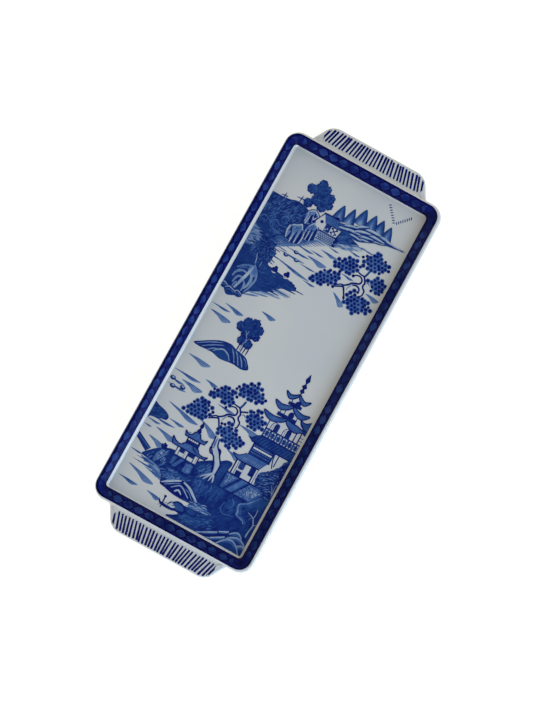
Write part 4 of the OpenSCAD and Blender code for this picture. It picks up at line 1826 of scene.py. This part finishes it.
# %% Reeds, the shore and the islet

reeds = [
    (5, -129.4), (11, -129), (17, -129.8), (19.4, -132), (22.6, -133), (18, -134.4), (12, -135.2),
    (4, -135.4),
]
near_bank.patch(reeds, 0.6, 3.6)
near_bank.strokes(reeds, 22, 4.0, 0.6, 10, (0.26, 0.42), 4, hand)
near_bank.strokes(reeds, 14, 4.0, 0.5, 30, (0.7, 0.84), 4.4, hand)
near_bank.patch([
    (-41, -117.6), (-30, -118.4), (-26, -122), (-23, -128.4), (-29, -126.6), (-35, -123.4),
], 0.4, 0.6)
near_bank.strokes(
    [(-48, -117), (-30, -118.4), (-23, -128), (-36, -123)], 46, 6.0, 0.8, -6, (0.4, 0.66), 1.2, hand,
)
near_bank.block([(-60, -102.4), (-42.6, -109.6), (-45.4, -113.8), (-60, -106.8)], 0.86, 3)
near_bank.line([(-57, -104.4), (-43.6, -110.4)], 0.8, 0.55, 4)
near_bank.line([(-57, -106.6), (-45, -113.0)], 0.8, 0.98, 4)
for u, v, r in [
    (-35, -104.6, 1.1), (-33.4, -102.8, 1.2), (-36, -103.2, 0.8), (-34.4, -101.8, 0.8), (-33, -105, 1.1),
]:
    near_bank.block(oval((u, v), r, r, 20, 0.35, 5), 0.96, 4 + 0.4 * r)
near_bank.dots([(-33.6, -109.4)], 0.9, 0.3, 4)
islet = [
    (-60, -76.8), (-52, -78.0), (-46, -79.6), (-42.2, -82.2), (-42.6, -85.4), (-46, -86.2), (-51, -87.6),
    (-55, -88.4), (-60, -92),
]
near_bank.patch(islet, 0.86, 3)
near_bank.strokes(shrunk(islet, 0.8), 26, 2.4, 0.6, 30, (0.6, 0.72), 4, hand)
near_bank.lay()

# %% The mound of rocks

rocks = Motif("near_rocks")


def slab(motif, start, end, thick, coat):
    """A leaning block: white along its upper side, blue below and dark at its foot."""
    fall = Vector((0.35, -1)) * thick
    corners = [Vector(start), Vector(end), Vector(end) + fall, Vector(start) + fall]
    motif.block([tuple(p) for p in corners], 0.97, coat)
    for share, width, tone in ((0.2, 0.32, 0.24), (0.5, 0.26, 0.6)):
        line = [tuple(corners[k] + fall * share) for k in (0, 1)]
        motif.brush(line, width * thick, tone, coat + 0.4, ends=(0.9, 0.9))


rocks.patch([
    (-24, -129.2), (-16, -123.6), (-8.5, -119.8), (0, -121.8), (9.4, -129.8), (4, -131.2), (-8, -132),
    (-18, -131.2),
], 0.96, 4)
for path, width, tone in [
    ([(-23, -128.4), (-16.2, -124), (-9.6, -120.6)], 1.8, 0.2),
    ([(-20.4, -129), (-14.5, -125.4), (-9.6, -122.8)], 0.8, 0.4),
    ([(-7.6, -120.6), (-1.6, -122.6), (3.8, -126.4), (8.4, -129.6)], 2.0, 0.22),
    ([(-14.6, -128.6), (-10, -124.8), (-7, -124.6), (-2, -127.8), (1, -130)], 1.1, 0.3),
    ([(-4, -124.4), (0.4, -126.4), (4, -129.8)], 0.7, 0.45),
    ([(-11, -130.2), (-8.4, -128), (-5, -130.2)], 1.5, 0.2),
]:
    rocks.brush(path, width, tone, 5, ends=(0.5, 0.4))
rocks.brush([(-23, -129.4), (-12, -132), (0, -132.4), (8, -131.6)], 1.2, 0.9, 9)

# %% Slabs and round rocks

coat = 5
for start, end, thick in [
    ((33.8, -140), (40.8, -136.6), 3.4), ((18.6, -148.6), (23, -146.4), 2.6),
    ((22.8, -146.2), (33, -140.8), 3.6), ((30, -147.2), (39.8, -141.4), 3.8),
    ((25, -150.6), (30.4, -147.6), 2.4),
]:
    slab(rocks, start, end, thick, coat)
    coat += 0.9
for u, v, half, height in [
    (47.4, -138.6, 5.2, 3.6), (49.5, -143.2, 8.6, 4.8), (55, -146.6, 5.4, 4.2), (45.6, -149.4, 9.4, 7.4),
]:
    profile = [
        (u - half, v), (u - 0.6 * half, v + 0.6 * height), (u, v + height),
        (u + 0.6 * half, v + 0.66 * height), (u + half, v),
    ]
    rocks.patch(profile + [(u, v - 1)], 0.86, coat)
    rocks.brush([(a, b - 1.5) for a, b in profile[1:4]], 2.0, 0.64, coat + 0.4)
    rocks.brush(profile, 1.35, 0.34, coat + 0.8, ends=(0.6, 0.4))
    coat += 1.4
rocks.patch([
    (-9.4, -141), (-7, -137), (-3.4, -135.2), (1.4, -136.4), (4.6, -140), (2.4, -143), (-4, -143),
], 0.95, 5)
rocks.patch([
    (-7.6, -140.6), (-5.6, -137.6), (-3, -136.4), (0.6, -137.4), (2.6, -140.4), (-3, -142),
], 0.7, 6)
rocks.patch(oval((8.6, -138.6), 4.6, 2.6), 0.92, 5)
rocks.patch(oval((8.4, -138.2), 3.4, 1.7), 0.78, 6)
rocks.lay()

# %% The bare tree

bare_tree = Motif("bare_tree")
bough = [
    (51, -102), (45, -109.6), (42.6, -112), (38.4, -114.6), (37.8, -117.4), (39.4, -120.6), (39.6, -123),
    (43.2, -124), (46, -125.2), (47.4, -127),
]
bare_tree.brush([(u + 1.6, v) for u, v in bough], 3.6, 0.7, 4)
bare_tree.brush(bough, 1.5, 0.46, 5)
for path, width in [
    ([(53.8, -135), (54.0, -130), (54.8, -124.6), (53.2, -121), (51.7, -119), (46.6, -117.2)], 1.1),
    ([(54.8, -124.6), (57.3, -122.6)], 0.8), ([(52.4, -119.8), (52.9, -116.4), (52.4, -111.6)], 0.7),
    ([(51.7, -119), (49.6, -121.6)], 0.5),
]:
    bare_tree.brush(path, 0.9 * width, 0.32, 6, ends=(1, 0.3))
bare_tree.lay()

# %% The boat

boat = Motif("boat")
boat.patch([
    (-18.4, -139.2), (-16.6, -141.4), (-10, -142.0), (-4, -141.4), (-2, -142.4), (-6, -144), (-12, -144.2),
    (-17, -143),
], 0.97, 7)
boat.patch(oval((-7.4, -140.2), 3.0, 1.9), 0.12, 7)
boat.strokes(oval((-7.4, -140.2), 2.4, 1.5), 8, 1.6, 0.5, 30, (0.5, 0.7), 8, hand)
boat.line([(-10.6, -141.4), (-9.4, -138.8), (-7.0, -138.0), (-4.4, -140)], 0.8, 0.9, 8)
boat.brush([(-14.8, -135.8), (-14.6, -141), (-14.6, -146)], 1.0, 0.95, 8, ends=(1, 0.6))
boat.dots([(-14.8, -136.6)], 1.1, 0.95, 8)
boat.brush([(-17.4, -145), (-11.4, -140.0)], 0.8, 0.9, 8)
boat.lay()

# %% [markdown]
# ## Floor, light and camera
# The tray lies on a plain white floor. The floor is an ordinary pale surface for the light, but the
# camera and the reflections also see a glow from it, which brings its open parts up to white and keeps
# a faint shadow. The room is bright at the sides and dark overhead, so that the glaze mirrors no light
# into the camera. A long, low window on the right sends cool light across the tray: it falls almost
# square on the left wall, skims the floor and draws a bluish line along the lip and the cove.

# %% The floor


def make_floor_white():
    finish = bpy.data.materials.new("floor_white")
    finish.use_nodes = True
    finish.node_tree.nodes.remove(finish.node_tree.nodes["Principled BSDF"])
    start = Signal(finish.node_tree)
    camera, glossy, clear = (start.node("LightPath", out=out) for out in (0, 3, 6))
    seen = start.maths("MAXIMUM", camera, start.maths("MAXIMUM", glossy, clear))
    lit = start.node("BsdfDiffuse", None, {"Color": (0.8, 0.8, 0.8, 1)})
    shade = start.node("BsdfDiffuse", None, {"Color": (0.22, 0.22, 0.22, 1)})
    glow = start.node("Emission", None, {"Color": (1, 1, 1, 1), "Strength": 0.87})
    shown = start.node("AddShader", None, {0: shade, 1: glow})
    surface = start.node("MixShader", None, {0: seen, 1: lit, 2: shown})
    output = finish.node_tree.nodes["Material Output"]
    finish.node_tree.links.new(surface.socket, output.inputs["Surface"])
    return finish


floor_half = 2.0
floor_mesh = bpy.data.meshes.new("studio_floor")
floor_mesh.from_pydata([(floor_half * x, floor_half * y, 0) for x, y in corner_signs], [], [(0, 1, 2, 3)])
floor_mesh.materials.append(make_floor_white())
studio_floor = bpy.data.objects.new("studio_floor", floor_mesh)
bpy.context.collection.objects.link(studio_floor)

# %% The world

scene = bpy.context.scene
scene.view_settings.view_transform = "Standard"
sky = bpy.data.worlds.new("dim_room")
scene.world = sky
sky.use_nodes = True
start = Signal(sky.node_tree)
height = start.node("SeparateXYZ", None, {0: start.node("TexCoord", out=0)}, out=2)
walls = start.node("Background", None, {"Color": (1.0, 0.975, 0.9, 1), "Strength": 1.36})
ceiling = start.node("Background", None, {"Color": (0.9, 0.95, 1.0, 1), "Strength": 0.06})
room = start.node("MixShader", None, {0: height.rises(0.6, 0.9), 1: walls, 2: ceiling})
backdrop = start.node("Background", None, {"Color": (1, 1, 1, 1), "Strength": 1.0})
shown = start.node("MixShader", None, {0: start.node("LightPath", out=0), 1: room, 2: backdrop})
sky.node_tree.links.new(shown.socket, sky.node_tree.nodes["World Output"].inputs["Surface"])

# %% The window


def aimed(place, aim, top):
    """The matrix of a lamp or camera at a place, turned to an aim, its top towards a direction."""
    back = (Vector(place) - Vector(aim)).normalized()
    right = Vector(top).cross(back).normalized()
    turn = Matrix((right, back.cross(right), back)).transposed()
    return Matrix.Translation(place) @ turn.to_4x4()


sky_light = (0.42, 0.66, 1.0)
window_data = bpy.data.lights.new("low_window", "AREA")
window_data.shape = "RECTANGLE"
window_data.size = 1.2
window_data.size_y = 0.3
window_data.color = sky_light
window_data.energy = 11.5
window = bpy.data.objects.new("low_window", window_data)
window.matrix_world = aimed((-0.36, -0.8, 0.3), (-0.04, 0, 0), (0, 1, 0))
bpy.context.collection.objects.link(window)

# %% [markdown]
# The photograph looks almost straight down, with the tray turned so that its far end points up and to
# the right. The camera's up direction on the table gives that turn.

# %% The camera

camera_place = Vector((-26.1, 5.5, 589.9)) * MM
camera_aim = Vector((-1.3, 2.2, 9.5)) * MM
tray_turn = math.radians(28.83)
picture_top = (math.cos(tray_turn), math.sin(tray_turn), 0)
camera_data = bpy.data.cameras.new("camera")
camera_data.lens = 38.52
camera = bpy.data.objects.new("camera", camera_data)
camera.matrix_world = aimed(camera_place, camera_aim, picture_top)
bpy.context.collection.objects.link(camera)
scene.camera = camera
print(f"camera with a {camera_data.lens:.1f} mm lens, {(camera_place - camera_aim).length:.2f} m away")
